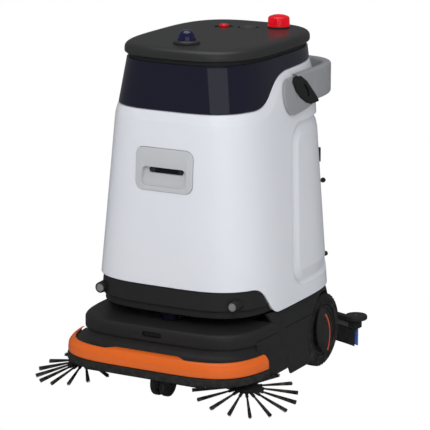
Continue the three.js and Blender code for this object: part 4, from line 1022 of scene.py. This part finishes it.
# ---------------------------------------------------------------- drive wheels and tyres
# Black-painted steel hubs with a rubber tyre bonded on. The tyre's sides carry two moulded rings,
# and chevron lugs stand round its tread.
tyre_black = moulded_look("tyre_black", (0.010, 0.010, 0.010), (0.015, 0.015, 0.014), 0.66, 0.12, 900, 0.30,
                          0.10)
steel_grey = moulded_look("steel_grey", (0.30, 0.305, 0.315), (0.25, 0.25, 0.26), 0.34, 0.12, 520, 0.05,
                          0.10, Metallic=1.0)
hub_radius = 0.084
wheel_inner = wheel_face - wheel_width
tread_height = 0.0030
tread_radius = wheel_radius - tread_height
tyre = turned([
    (0.0844, 0.002), (0.0900, 0.0006), (0.0960, 0.0004), (0.0970, 0.0014), (0.0990, 0.0014),
    (0.1000, 0.0004), (0.1080, 0.0010), (0.1140, 0.0040), (tread_radius - 0.0004, 0.0075),
    (tread_radius, 0.0110), (tread_radius, 0.0220), (tread_radius - 0.0018, 0.0226),
    (tread_radius - 0.0018, 0.0234), (tread_radius, 0.0240), (tread_radius, 0.0350),
    (tread_radius - 0.0004, 0.0385), (0.1140, 0.0420), (0.1080, 0.0450), (0.1000, 0.0456), (0.0990, 0.0446),
    (0.0970, 0.0446), (0.0960, 0.0456), (0.0900, 0.0454), (0.0844, 0.0440)],
    (wheel_inner, wheel_y, wheel_radius), (1, 0, 0), 128)
add_pair("tyre", tyre, "drive", tyre_black, "tyre_black", "drive_tyre", sharp=28)
hub = turned([
    (0, -0.006), (0.0130, -0.006), (0.0140, -0.005), (0.0140, 0.004), (0.0820, 0.004), (hub_radius, 0.0055),
    (hub_radius, 0.0405), (0.0825, 0.0420), (0.0715, 0.0420), (0.0695, 0.0405), (0.0650, 0.0335),
    (0.0625, 0.0320), (0.0300, 0.0320), (0.0270, 0.0335), (0.0225, 0.0405), (0.0205, 0.0420), (0, 0.0420)],
             (wheel_inner, wheel_y, wheel_radius), (1, 0, 0), 96)
lightening = [turned([(0, 0.025), (0.0095, 0.025), (0.0095, 0.05), (0, 0.05)],
                     (wheel_inner, wheel_y + 0.046 * math.cos(a), wheel_radius + 0.046 * math.sin(a)),
                     (1, 0, 0), 32)
              for a in np.radians(np.arange(0, 360, 60))]
add_pair("hub", softened(joined(hub, "DIFFERENCE", *lightening), 0.0008, 2, 40), "drive", satin_black,
         "steel", "drive_wheel", sharp=30)


def repeat_tree(name, inputs):
    """An empty Geometry Nodes tree with named inputs and one Geometry output."""
    tree = bpy.data.node_groups.new(name, "GeometryNodeTree")
    tree.interface.new_socket("Geometry", in_out="INPUT", socket_type="NodeSocketGeometry")
    for label, kind, value in inputs:
        socket = tree.interface.new_socket(label, in_out="INPUT", socket_type=kind)
        if value is not None:
            socket.default_value = value
    tree.interface.new_socket("Geometry", in_out="OUTPUT", socket_type="NodeSocketGeometry")
    return tree, tree.nodes.new("NodeGroupInput"), tree.nodes.new("NodeGroupOutput")


def grown(tree, seed_mesh, **values):
    """The plain mesh that a tree makes, with its inputs set by identifier."""
    identifiers = {
        item.name: item.identifier for item in tree.interface.items_tree
        if item.item_type == "SOCKET" and item.in_out == "INPUT"
    }

    def add(obj):
        modifier = obj.modifiers.new("grow", "NODES")
        modifier.node_group = tree
        for label, value in values.items():
            modifier[identifiers[label.replace("_", " ")]] = value

    return applied(seed_mesh, add)


def finish_tree(tree, out, geometry, look_socket):
    """Ends a tree: real geometry, one material."""
    real = tree.nodes.new("GeometryNodeRealizeInstances")
    paint = tree.nodes.new("GeometryNodeSetMaterial")
    tree.links.new(geometry, real.inputs[0])
    tree.links.new(real.outputs[0], paint.inputs["Geometry"])
    tree.links.new(look_socket, paint.inputs["Material"])
    tree.links.new(paint.outputs[0], out.inputs[0])


def facing(tree, direction, geometry, instance):
    """Instances on points, each with its own Z along the direction."""
    turn = tree.nodes.new("FunctionNodeAlignEulerToVector")
    turn.axis = "Z"
    tree.links.new(direction, turn.inputs["Vector"])
    spread = tree.nodes.new("GeometryNodeInstanceOnPoints")
    tree.links.new(geometry, spread.inputs["Points"])
    tree.links.new(instance, spread.inputs["Instance"])
    tree.links.new(turn.outputs[0], spread.inputs["Rotation"])
    return spread.outputs[0]


# The tread: the seed lug is repeated round X.
ring_tree, ring_in, ring_out = repeat_tree("ring_of_lugs", [
    ("Count", "NodeSocketInt", 40), ("Material", "NodeSocketMaterial", None)])
ring_sum, ring_link = partial(sum_node, ring_tree), ring_tree.links.new
around_x = new_node(ring_tree, "GeometryNodeMeshLine", Offset=(0, 0, 0))
ring_link(ring_in.outputs["Count"], around_x.inputs["Count"])
which = ring_tree.nodes.new("GeometryNodeInputIndex")
whole_turn = ring_sum("DIVIDE", 2 * math.pi, ring_in.outputs["Count"])
lug_turn = ring_tree.nodes.new("ShaderNodeCombineXYZ")
ring_link(ring_sum("MULTIPLY", which.outputs[0], whole_turn), lug_turn.inputs["X"])
lugs = ring_tree.nodes.new("GeometryNodeInstanceOnPoints")
ring_link(around_x.outputs[0], lugs.inputs["Points"])
ring_link(ring_in.outputs["Geometry"], lugs.inputs["Instance"])
ring_link(lug_turn.outputs[0], lugs.inputs["Rotation"])
finish_tree(ring_tree, ring_out, lugs.outputs[0], ring_in.outputs["Material"])

lug_outline = [(-0.0165, -0.0020), (-0.0100, -0.0035), (-0.0016, -0.0035), (-0.0016, 0.0025),
               (-0.0095, 0.0025), (-0.0165, 0.0045)]
lug = prism(counter_clockwise(lug_outline), tread_radius - 0.001, wheel_radius, "Z")
for vertex in lug.vertices:
    if vertex.co.z > tread_radius:
        vertex.co.x *= 0.94
        vertex.co.z = wheel_radius - 0.0001 - 0.9 * max(0.0, abs(vertex.co.x) - 0.0120) * 0.25
lug_count = 44
lugs_mesh = grown(ring_tree, lug, Count=lug_count, Material=tyre_black)
other_half = lugs_mesh.copy()
other_half.transform(Matrix.Rotation(math.pi / lug_count, 4, "X") @ Matrix.Diagonal((-1, 1, 1, 1)))
other_half.flip_normals()


def merged(*meshes):
    """Several meshes as one."""
    work = bmesh.new()
    for mesh in meshes:
        work.from_mesh(mesh)
    result = bpy.data.meshes.new("mesh")
    work.to_mesh(result)
    work.free()
    return result


tread_mesh = merged(lugs_mesh, other_half)
tread_mesh.transform(Matrix.Translation((wheel_inner + wheel_width / 2, wheel_y, wheel_radius)))
add_pair("tread", tread_mesh, "drive", tyre_black, "tyre_black")

# ---------------------------------------------------------------- caster
# A swivel fork in black nylon between two small rubber wheels, under the bumper's middle.
add_piece("caster_yoke", refined("caster_fork", 0.0020, 3), "caster_fork", satin_black, "black_plastic",
          "caster_fork")
for side, name in ((1, "left"), (-1, "right")):
    low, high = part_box(f"caster_wheel_{name}")
    inner = low.x if side > 0 else high.x
    small = turned([
        (0.0062, 0.0), (0.0180, 0.0), (0.0190, 0.0010), (0.0280, 0.0010), (0.0290, 0.0), (0.0385, 0.0),
        (0.0408, 0.0010), (0.0419, 0.0035), (0.0420, 0.0060), (0.0420, 0.0140), (0.0419, 0.0165),
        (0.0408, 0.0190), (0.0385, 0.0200), (0.0290, 0.0200), (0.0280, 0.0186), (0.0190, 0.0186),
        (0.0180, 0.0200), (0.0062, 0.0200)], (inner, (low.y + high.y) / 2, (low.z + high.z) / 2),
                   (side, 0, 0), 72)
    add_piece(f"caster_tyre_{name}", small, f"caster_wheel_{name}", tyre_black, "rubber_black",
              f"caster_wheel_{name}", sharp=28)

# ---------------------------------------------------------------- brush deck, rollers, hopper and motor
# The deck is a pressed housing round two counter-turning roller brushes. Each roller is a plastic
# core with rows of blue nylon tufts set in a chevron, so that dirt is swept to the middle.
add_piece("brush_housing", refined("brush_deck", 0.0015, 2), "brush_deck", satin_black, "black_plastic",
          "brush_deck")
add_piece("hopper_tray", refined("dust_hopper", 0.0012, 2), "brush_deck", satin_black, "black_plastic",
          "dust_hopper")
add_piece("roller_motor", refined("brush_motor", 0.0030, 3), "brush_deck", steel_grey, "steel",
          "brush_motor")

tuft_tree, tuft_in, tuft_out = repeat_tree("chevron_tufts", [
    ("Rows", "NodeSocketInt", 12), ("Per Row", "NodeSocketInt", 70),
    ("Core Radius", "NodeSocketFloat", 0.03), ("Half Length", "NodeSocketFloat", 0.18),
    ("Twist", "NodeSocketFloat", 1.0), ("Tuft Length", "NodeSocketFloat", 0.018),
    ("Thickness", "NodeSocketFloat", 0.002), ("Material", "NodeSocketMaterial", None)])
tuft_sum, tuft_link = partial(sum_node, tuft_tree), tuft_tree.links.new
tuft = new_node(tuft_tree, "GeometryNodeMeshCone", Vertices=6, Side_Segments=2)
tuft_link(tuft_in.outputs["Tuft Length"], tuft.inputs["Depth"])
tuft_link(tuft_sum("MULTIPLY", tuft_in.outputs["Thickness"], 1.25), tuft.inputs["Radius Top"])
tuft_link(tuft_in.outputs["Thickness"], tuft.inputs["Radius Bottom"])
count = tuft_sum("MULTIPLY", tuft_in.outputs["Rows"], tuft_in.outputs["Per Row"])
index = tuft_tree.nodes.new("GeometryNodeInputIndex").outputs[0]
row = tuft_sum("FLOOR", tuft_sum("DIVIDE", tuft_sum("ADD", index, 0.5), tuft_in.outputs["Per Row"]))
step = tuft_sum("SUBTRACT", index, tuft_sum("MULTIPLY", row, tuft_in.outputs["Per Row"]))
share = tuft_sum("SUBTRACT", tuft_sum("DIVIDE", tuft_sum("ADD", step, 0.5), tuft_in.outputs["Per Row"]),
                 0.5)
along_x = tuft_sum("MULTIPLY", tuft_sum("MULTIPLY", share, 2.0), tuft_in.outputs["Half Length"])
row_turn = tuft_sum("MULTIPLY", tuft_sum("DIVIDE", row, tuft_in.outputs["Rows"]), 2 * math.pi)
swept_turn = tuft_sum("MULTIPLY", tuft_sum("ABSOLUTE", share), tuft_in.outputs["Twist"])
angle = tuft_sum("ADD", row_turn, swept_turn)
radial = tuft_tree.nodes.new("ShaderNodeCombineXYZ")
tuft_link(tuft_sum("COSINE", angle), radial.inputs["Y"])
tuft_link(tuft_sum("SINE", angle), radial.inputs["Z"])
on_core = tuft_tree.nodes.new("ShaderNodeVectorMath")
on_core.operation = "SCALE"
tuft_link(radial.outputs[0], on_core.inputs[0])
tuft_link(tuft_in.outputs["Core Radius"], on_core.inputs["Scale"])
shift_x = tuft_tree.nodes.new("ShaderNodeCombineXYZ")
tuft_link(along_x, shift_x.inputs["X"])
placed = tuft_tree.nodes.new("ShaderNodeVectorMath")
placed.operation = "ADD"
tuft_link(on_core.outputs[0], placed.inputs[0])
tuft_link(shift_x.outputs[0], placed.inputs[1])
tuft_points = tuft_tree.nodes.new("GeometryNodePoints")
tuft_link(count, tuft_points.inputs["Count"])
tuft_link(placed.outputs[0], tuft_points.inputs["Position"])
finish_tree(tuft_tree, tuft_out, facing(tuft_tree, radial.outputs[0], tuft_points.outputs[0],
                                        tuft.outputs[0]), tuft_in.outputs["Material"])

bristle_blue = moulded_look("bristle_blue", (0.020, 0.075, 0.36), (0.030, 0.10, 0.42), 0.45, 0.10, 2400,
                            0.20, 0.30)
core_blue = moulded_look("core_blue", (0.015, 0.040, 0.17), (0.020, 0.055, 0.21), 0.40, 0.08, 900, 0.08,
                         0.10)
roller_half, roller_radius, roller_core = 0.190, 0.048, 0.030
tufts_mesh = grown(tuft_tree, mesh_of([], []), Rows=14, Per_Row=62, Core_Radius=roller_core - 0.001,
                   Half_Length=roller_half - 0.004, Twist=2.2,
                   Tuft_Length=roller_radius - roller_core + 0.0008, Thickness=0.0019,
                   Material=bristle_blue)
for where in ("front", "rear"):
    low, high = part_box(f"roller_{where}")
    middle = (low + high) / 2
    bristles = tufts_mesh.copy()
    bristles.transform(Matrix.Translation(middle))
    add_piece(f"roller_tufts_{where}", bristles, f"roller_{where}", bristle_blue, "bristle_blue",
              f"roller_{where}", sharp=60)
    core = turned([
        (0, low.x), (0.0085, low.x), (0.009, low.x + 0.001), (0.009, -roller_half - 0.001),
        (0.0240, -roller_half), (0.0290, -roller_half + 0.001), (roller_core, -roller_half + 0.003),
        (roller_core, roller_half - 0.003), (0.0290, roller_half - 0.001), (0.0240, roller_half),
        (0.009, roller_half + 0.001), (0.009, high.x - 0.001), (0.0085, high.x), (0, high.x)],
                  (0, middle.y, middle.z), (1, 0, 0), 48)
    add_piece(f"roller_core_{where}", core, f"roller_{where}", core_blue, "bristle_blue", f"roller_{where}")

# ---------------------------------------------------------------- side brushes
# A leaning hub carries sixteen moulded sockets, and a tuft of stiff black nylon is stapled into
# each, pinched where it leaves the socket and splayed at its tip.
brush_x, brush_y, brush_z, brush_tufts, brush_reach, brush_drop = 0.288, -0.349, 0.071, 16, 0.163, 0.015
brush_lean = Vector((0.15, -0.12, 1)).normalized()
socket_start, socket_slope = 0.026, math.atan2(brush_drop, brush_reach - 0.026)
tuft_length = (brush_reach - socket_start) / math.cos(socket_slope)

splay_tree, splay_in, splay_out = repeat_tree("splayed_tufts", [
    ("Tufts", "NodeSocketInt", 16), ("Bristles", "NodeSocketInt", 18), ("Start", "NodeSocketFloat", 0.026),
    ("Slope", "NodeSocketFloat", 0.1), ("Tuft Length", "NodeSocketFloat", 0.13),
    ("Waist", "NodeSocketFloat", 0.0011), ("Splay", "NodeSocketFloat", 0.03),
    ("Thickness", "NodeSocketFloat", 0.0006), ("Seed", "NodeSocketInt", 4),
    ("Material", "NodeSocketMaterial", None)])
splay_sum, splay_link = partial(sum_node, splay_tree), splay_tree.links.new
bristle = new_node(splay_tree, "GeometryNodeMeshCone", Vertices=5, Side_Segments=3)
splay_link(splay_in.outputs["Tuft Length"], bristle.inputs["Depth"])
splay_link(splay_sum("MULTIPLY", splay_in.outputs["Thickness"], 1.15), bristle.inputs["Radius Top"])
splay_link(splay_in.outputs["Thickness"], bristle.inputs["Radius Bottom"])
bristle_index = splay_tree.nodes.new("GeometryNodeInputIndex").outputs[0]
spread_share = splay_sum("SQRT", splay_sum("DIVIDE", splay_sum("ADD", bristle_index, 0.5),
                                           splay_in.outputs["Bristles"]))
golden_turn = math.pi * (3 - math.sqrt(5))
golden = splay_sum("MULTIPLY", bristle_index, golden_turn)
offset_x = splay_sum("MULTIPLY", splay_sum("COSINE", golden), spread_share)
offset_y = splay_sum("MULTIPLY", splay_sum("SINE", golden), spread_share)
root_place = splay_tree.nodes.new("ShaderNodeCombineXYZ")
splay_link(splay_sum("MULTIPLY", offset_x, splay_in.outputs["Waist"]), root_place.inputs["X"])
splay_link(splay_sum("MULTIPLY", offset_y, splay_in.outputs["Waist"]), root_place.inputs["Y"])
wobble = splay_tree.nodes.new("FunctionNodeRandomValue")
wobble.data_type = "FLOAT"
wobble.inputs[2].default_value = 0.75
wobble.inputs[3].default_value = 1.15
splay_link(splay_in.outputs["Seed"], wobble.inputs["Seed"])
splay_now = splay_sum("MULTIPLY", wobble.outputs[1], splay_in.outputs["Splay"])
bristle_way = splay_tree.nodes.new("ShaderNodeCombineXYZ")
splay_link(splay_sum("MULTIPLY", offset_x, splay_now), bristle_way.inputs["X"])
splay_link(splay_sum("MULTIPLY", offset_y, splay_now), bristle_way.inputs["Y"])
bristle_way.inputs["Z"].default_value = 1
roots = splay_tree.nodes.new("GeometryNodePoints")
splay_link(splay_in.outputs["Bristles"], roots.inputs["Count"])
splay_link(root_place.outputs[0], roots.inputs["Position"])
one_tuft = facing(splay_tree, bristle_way.outputs[0], roots.outputs[0], bristle.outputs[0])
tuft_index = splay_tree.nodes.new("GeometryNodeInputIndex").outputs[0]
tuft_turn = splay_sum("MULTIPLY", splay_sum("DIVIDE", splay_sum("ADD", tuft_index, 0.5),
                                            splay_in.outputs["Tufts"]), 2 * math.pi)
level_x = splay_sum("COSINE", tuft_turn)
level_y = splay_sum("SINE", tuft_turn)
tuft_place = splay_tree.nodes.new("ShaderNodeCombineXYZ")
splay_link(splay_sum("MULTIPLY", level_x, splay_in.outputs["Start"]), tuft_place.inputs["X"])
splay_link(splay_sum("MULTIPLY", level_y, splay_in.outputs["Start"]), tuft_place.inputs["Y"])
tuft_place.inputs["Z"].default_value = -0.002
tuft_way = splay_tree.nodes.new("ShaderNodeCombineXYZ")
level_share = splay_sum("COSINE", splay_in.outputs["Slope"])
splay_link(splay_sum("MULTIPLY", level_x, level_share), tuft_way.inputs["X"])
splay_link(splay_sum("MULTIPLY", level_y, level_share), tuft_way.inputs["Y"])
splay_link(splay_sum("MULTIPLY", splay_sum("SINE", splay_in.outputs["Slope"]), -1.0), tuft_way.inputs["Z"])
tuft_roots = splay_tree.nodes.new("GeometryNodePoints")
splay_link(splay_in.outputs["Tufts"], tuft_roots.inputs["Count"])
splay_link(tuft_place.outputs[0], tuft_roots.inputs["Position"])
finish_tree(splay_tree, splay_out, facing(splay_tree, tuft_way.outputs[0], tuft_roots.outputs[0], one_tuft),
            splay_in.outputs["Material"])

nylon_black = moulded_look("nylon_black", (0.0075, 0.0075, 0.0078), (0.012, 0.012, 0.012), 0.42, 0.10, 2600,
                           0.15, 0.25)
splayed = grown(
    splay_tree, mesh_of([], []), Tufts=brush_tufts, Bristles=20, Start=socket_start, Slope=socket_slope,
    Tuft_Length=tuft_length, Waist=0.0014, Splay=0.0390, Thickness=0.00080, Seed=4, Material=nylon_black)
hub_dome = turned([(0, -0.009), (0.0290, -0.009), (0.0330, -0.0075), (0.0355, -0.0040), (0.0362, 0.0),
                   (0.0350, 0.0040), (0.0310, 0.0060), (0.0140, 0.0090), (0.0122, 0.0100), (0.0120, 0.0140),
                   (0.0110, 0.0150), (0, 0.0150)], segments=64)
sockets = []
for k in range(brush_tufts):
    a = 2 * math.pi * (k + 0.5) / brush_tufts
    way = (math.cos(a) * math.cos(socket_slope), math.sin(a) * math.cos(socket_slope),
           -math.sin(socket_slope))
    sockets.append(turned([(0, 0), (0.0052, 0), (0.0054, 0.002), (0.0050, 0.0300), (0.0046, 0.0315),
                           (0.0034, 0.0322), (0, 0.0322)],
                          (math.cos(a) * socket_start, math.sin(a) * socket_start, -0.002), way, 16))
lean_turn = Vector((0, 0, 1)).rotation_difference(brush_lean)
brush_stance = Matrix.Translation((brush_x, brush_y, brush_z)) @ lean_turn.to_matrix().to_4x4()
hub_mesh = merged(hub_dome, *sockets)
for mesh in (splayed, hub_mesh):
    mesh.transform(brush_stance)
add_pair("brush_bristles", splayed, "side_brush", nylon_black, "black_plastic", "side_brush", sharp=60)
add_pair("brush_hub", hub_mesh, "side_brush", satin_black, "black_plastic", "side_brush")

# ---------------------------------------------------------------- bumper
# A spring-mounted ring: an orange moulded trim with a raised middle, over a soft black rubber
# strip. Small black guide lugs hang under it.
trim_shares = np.linspace(0, 1, 720, endpoint=False)
trim_orange = moulded_look("trim_orange", (0.73, 0.130, 0.010), (0.67, 0.112, 0.008), 0.36, 0.06, 1100,
                           0.07, Coat_Weight=0.10, Coat_Roughness=0.25)
trim_line = outline(bumper_half, bumper_front, deck_rear, bumper_corner, trim_shares)
raised_half, raised_ease = 0.148, 0.026
raised = np.clip((raised_half - np.abs(trim_line[:, 0])) / raised_ease, 0, 1) * (trim_line[:, 1] < 0)
raised = raised[:, None]


def bumper_ring(z, inset):
    """The bumper's outline at a height; both may be arrays with one value per share."""
    inset = np.broadcast_to(np.asarray(inset, float).reshape(-1, 1), (len(trim_shares), 1))
    plain = outline(bumper_half, bumper_front, deck_rear, bumper_corner, trim_shares)
    shrunk = outline(bumper_half - 0.05, bumper_front + 0.05, deck_rear - 0.05, bumper_corner, trim_shares)
    xy = plain + (shrunk - plain) * inset / 0.05
    return np.column_stack([xy, np.broadcast_to(np.asarray(z, float).reshape(-1), (len(trim_shares),))])


top_inset = 0.0205 + 0.0185 * raised
top_height = 0.1650 + 0.0030 * raised
flange = 0.0018
trim_rows = [
    bumper_ring(0.1205, 0.0100), bumper_ring(0.1205, 0.0034), bumper_ring(0.1212, 0.0018),
    bumper_ring(0.1232, 0.0006), bumper_ring(0.1260, 0.0), bumper_ring(0.1350, 0.0004),
    bumper_ring(0.1450, 0.0014), bumper_ring(0.1485, 0.0020), bumper_ring(0.1510, 0.0031),
    bumper_ring(0.1560, 0.0064), bumper_ring(0.1600 + 0.0016 * raised, 0.0092 + 0.002 * raised),
    bumper_ring(0.1625 + 0.0024 * raised, 0.0118 + 0.004 * raised),
    bumper_ring(top_height - 0.0005, 0.0150 + 0.007 * raised), bumper_ring(top_height, top_inset - 0.0020),
    bumper_ring(top_height - 0.0004, top_inset - 0.0006), bumper_ring(top_height - 0.0010, top_inset),
    bumper_ring(top_height - flange, top_inset - 0.0006), bumper_ring(top_height - flange - 0.0002, 0.0150),
    bumper_ring(0.1585, 0.0118), bumper_ring(0.1540, 0.0108), bumper_ring(0.1260, 0.0100),
]
bumper_ends = block(-0.6, 0.0, bumper_back, 0.4)
trim_mesh = joined(skinned(trim_rows, looped=True), "INTERSECT", bumper_ends)
add_piece("bumper_trim_ring", softened(trim_mesh, 0.0012, 2, 60), "bumper", trim_orange, "trim_orange",
          "bumper_trim", sharp=24)
strip_rows = [bumper_ring(z, inset) for z, inset in (
    (0.0920, 0.0110), (0.0920, 0.0050), (0.0928, 0.0020), (0.0950, -0.0004), (0.0985, -0.0018),
    (0.1030, -0.0020), (0.1090, -0.0020), (0.1130, -0.0016), (0.1160, -0.0002), (0.1182, 0.0018),
    (0.1192, 0.0040), (0.1195, 0.0110))]
strip_mesh = joined(skinned(strip_rows, looped=True), "INTERSECT", bumper_ends)
add_piece("bumper_lip", softened(strip_mesh, 0.0012, 2, 60), "bumper", rubber_black, "rubber_black",
          "bumper_strip", sharp=35)
for name, x0, x1, depth in (("right", -0.215, -0.150, 0.008), ("middle", 0.110, 0.205, 0.009)):
    guide = prism([(bumper_front + 0.020, 0.0930 - depth), (bumper_front + 0.060, 0.0930 - depth),
                   (bumper_front + 0.066, 0.0930), (bumper_front + 0.060, 0.0985),
                   (bumper_front + 0.014, 0.0985), (bumper_front + 0.014, 0.0930)], x0, x1, "X")
    add_piece(f"bumper_guide_{name}", softened(guide, 0.0015, 2), "bumper", satin_black, "black_plastic")

# ---------------------------------------------------------------- squeegee
# A bowed beam drags two rubber blades behind the machine: a black one in front and a blue
# polyurethane one behind. A roller at each end keeps it off the walls, and an arm tows it.
squeegee_half, squeegee_end, squeegee_mid, beam_half = 0.300, 0.412, 0.484, 0.013


def bowed(reach, section, stations=72):
    """A closed section in the Y-Z plane, swept along the squeegee's bow."""
    rows = []
    for x in np.linspace(-reach, reach, stations):
        y = squeegee_mid - (squeegee_mid - squeegee_end) * (x / squeegee_half) ** 2
        rows.append([(x, y + a, b) for a, b in section])
    return skinned(rows)


beam_section = rounded_rectangle(-beam_half, beam_half, 0.060, 0.096, 0.0035, 4)
beam_mesh = softened(bowed(squeegee_half, beam_section), 0.0015, 2, 60)
add_piece("squeegee_body", beam_mesh, "squeegee", satin_black, "black_plastic", "squeegee_beam", sharp=40)
for name, start in (("front", -beam_half - 0.0030), ("rear", beam_half - 0.0004)):
    rail_section = rounded_rectangle(start, start + 0.0034, 0.064, 0.080, 0.0012, 3)
    rail_mesh = bowed(squeegee_half - 0.006, rail_section)
    add_piece(f"squeegee_clamp_{name}", rail_mesh, "squeegee", steel_grey, "steel")
pivot = turned([(0, 0.0900), (0.0230, 0.0900), (0.0230, 0.0975), (0.0220, 0.0985), (0.0092, 0.0988),
                (0.0090, 0.1230), (0.0080, 0.1258), (0, 0.1260)], (0, squeegee_mid, 0), segments=48)
add_piece("squeegee_pivot", pivot, "squeegee", steel_grey, "steel", "squeegee_beam")
blade_blue = moulded_look("blade_blue", (0.085, 0.27, 0.86), (0.070, 0.23, 0.78), 0.32, 0.06, 900, 0.05,
                          0.10, Coat_Weight=0.2, Subsurface_Weight=0.08)
blade_section = [(0.0020, 0.0595), (0.0020, 0.0035), (0.0030, 0.0020), (0.0056, 0.0020), (0.0060, 0.0030),
                 (0.0060, 0.0595)]
front_blade = [(-beam_half + a, b) for a, b in blade_section]
rear_blade = [(beam_half - a, b) for a, b in blade_section[::-1]]
add_piece("blade_front", bowed(squeegee_half - 0.006, front_blade), "squeegee", rubber_black,
          "rubber_black", "squeegee_blade_front")
add_piece("blade_rear", bowed(squeegee_half, rear_blade), "squeegee", blade_blue, "blade_blue",
          "squeegee_blade_rear")
end_x, end_y = 0.302, 0.400
end_roller = turned([(0, 0.0990), (0.0320, 0.0990), (0.0352, 0.0998), (0.0368, 0.1018), (0.0370, 0.1045),
                     (0.0370, 0.1085), (0.0364, 0.1115), (0.0345, 0.1135), (0.0310, 0.1144),
                     (0.0150, 0.1150), (0.0100, 0.1150), (0.0088, 0.1140), (0.0080, 0.1112), (0, 0.1112)],
                    (end_x, end_y, 0), segments=72)
add_pair("wall_roller", end_roller, "squeegee_roller", cover_black, "black_plastic", "squeegee_roller")
screw_head = turned([(0, 0.1105), (0.0062, 0.1105), (0.0062, 0.1136), (0.0054, 0.1144), (0, 0.1145)],
                    (end_x, end_y, 0), segments=32)
key_hole = turned([(0, 0.1122), (0.0032, 0.1122), (0.0032, 0.1200), (0, 0.1200)], (end_x, end_y, 0),
                  segments=6)
screw = joined(screw_head, "DIFFERENCE", key_hole)
add_pair("wall_roller_screw", softened(screw, 0.0003, 1, 50), "squeegee_roller", steel_grey, "steel",
         "squeegee_roller")
end_bracket = prism([(0.276, 0.392), (0.300, 0.384), (0.318, 0.392), (0.318, 0.412), (0.300, 0.428),
                     (0.276, 0.432)], 0.0700, 0.0982, "Z")
end_bracket = softened(end_bracket, 0.0025, 2)
add_pair("squeegee_bracket", end_bracket, "squeegee", satin_black, "black_plastic", both_on_one=True)
add_piece("squeegee_tow_arm", refined("squeegee_arm", 0.0015, 2), "squeegee_arm", steel_grey, "steel",
          "squeegee_arm")

# ---------------------------------------------------------------- chassis, tanks and drives
# The welded steel frame, the two blow-moulded tanks, the battery, the vacuum blower and the
# motors, which show from below or with the lid or the door open.
tank_white = moulded_look("tank_white", (0.47, 0.50, 0.53), (0.42, 0.45, 0.48), 0.38, 0.08, 240, 0.10)
battery_case = moulded_look("battery_case", (0.035, 0.036, 0.038), (0.05, 0.05, 0.052), 0.45, 0.08, 900,
                            0.15)
for node, name, width, body, look, slot in (
    ("chassis_frame", "chassis_weldment", 0.0015, "chassis", steel_grey, "steel"),
    ("clean_tank", "clean_water_tank", 0.0030, "chassis", tank_white, "tank_plastic"),
    ("recovery_tank", "dirty_water_tank", 0.0012, "chassis", tank_white, "tank_plastic"),
    ("battery_pack", "battery_case", 0.0040, "chassis", battery_case, "black_plastic"),
    ("vacuum_blower", "vacuum_blower_can", 0.0015, "chassis", satin_black, "black_plastic"),
    ("drive_motor_left", "drive_motor_can_left", 0.0015, "chassis", steel_grey, "steel"),
    ("drive_motor_right", "drive_motor_can_right", 0.0015, "chassis", steel_grey, "steel"),
    ("side_brush_motor_left", "brush_motor_can_left", 0.0010, "chassis", steel_grey, "steel"),
    ("side_brush_motor_right", "brush_motor_can_right", 0.0010, "chassis", steel_grey, "steel"),
):
    add_piece(name, refined(node, width), body, look, slot, node)

# ---------------------------------------------------------------- the finished object's box
low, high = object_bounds()
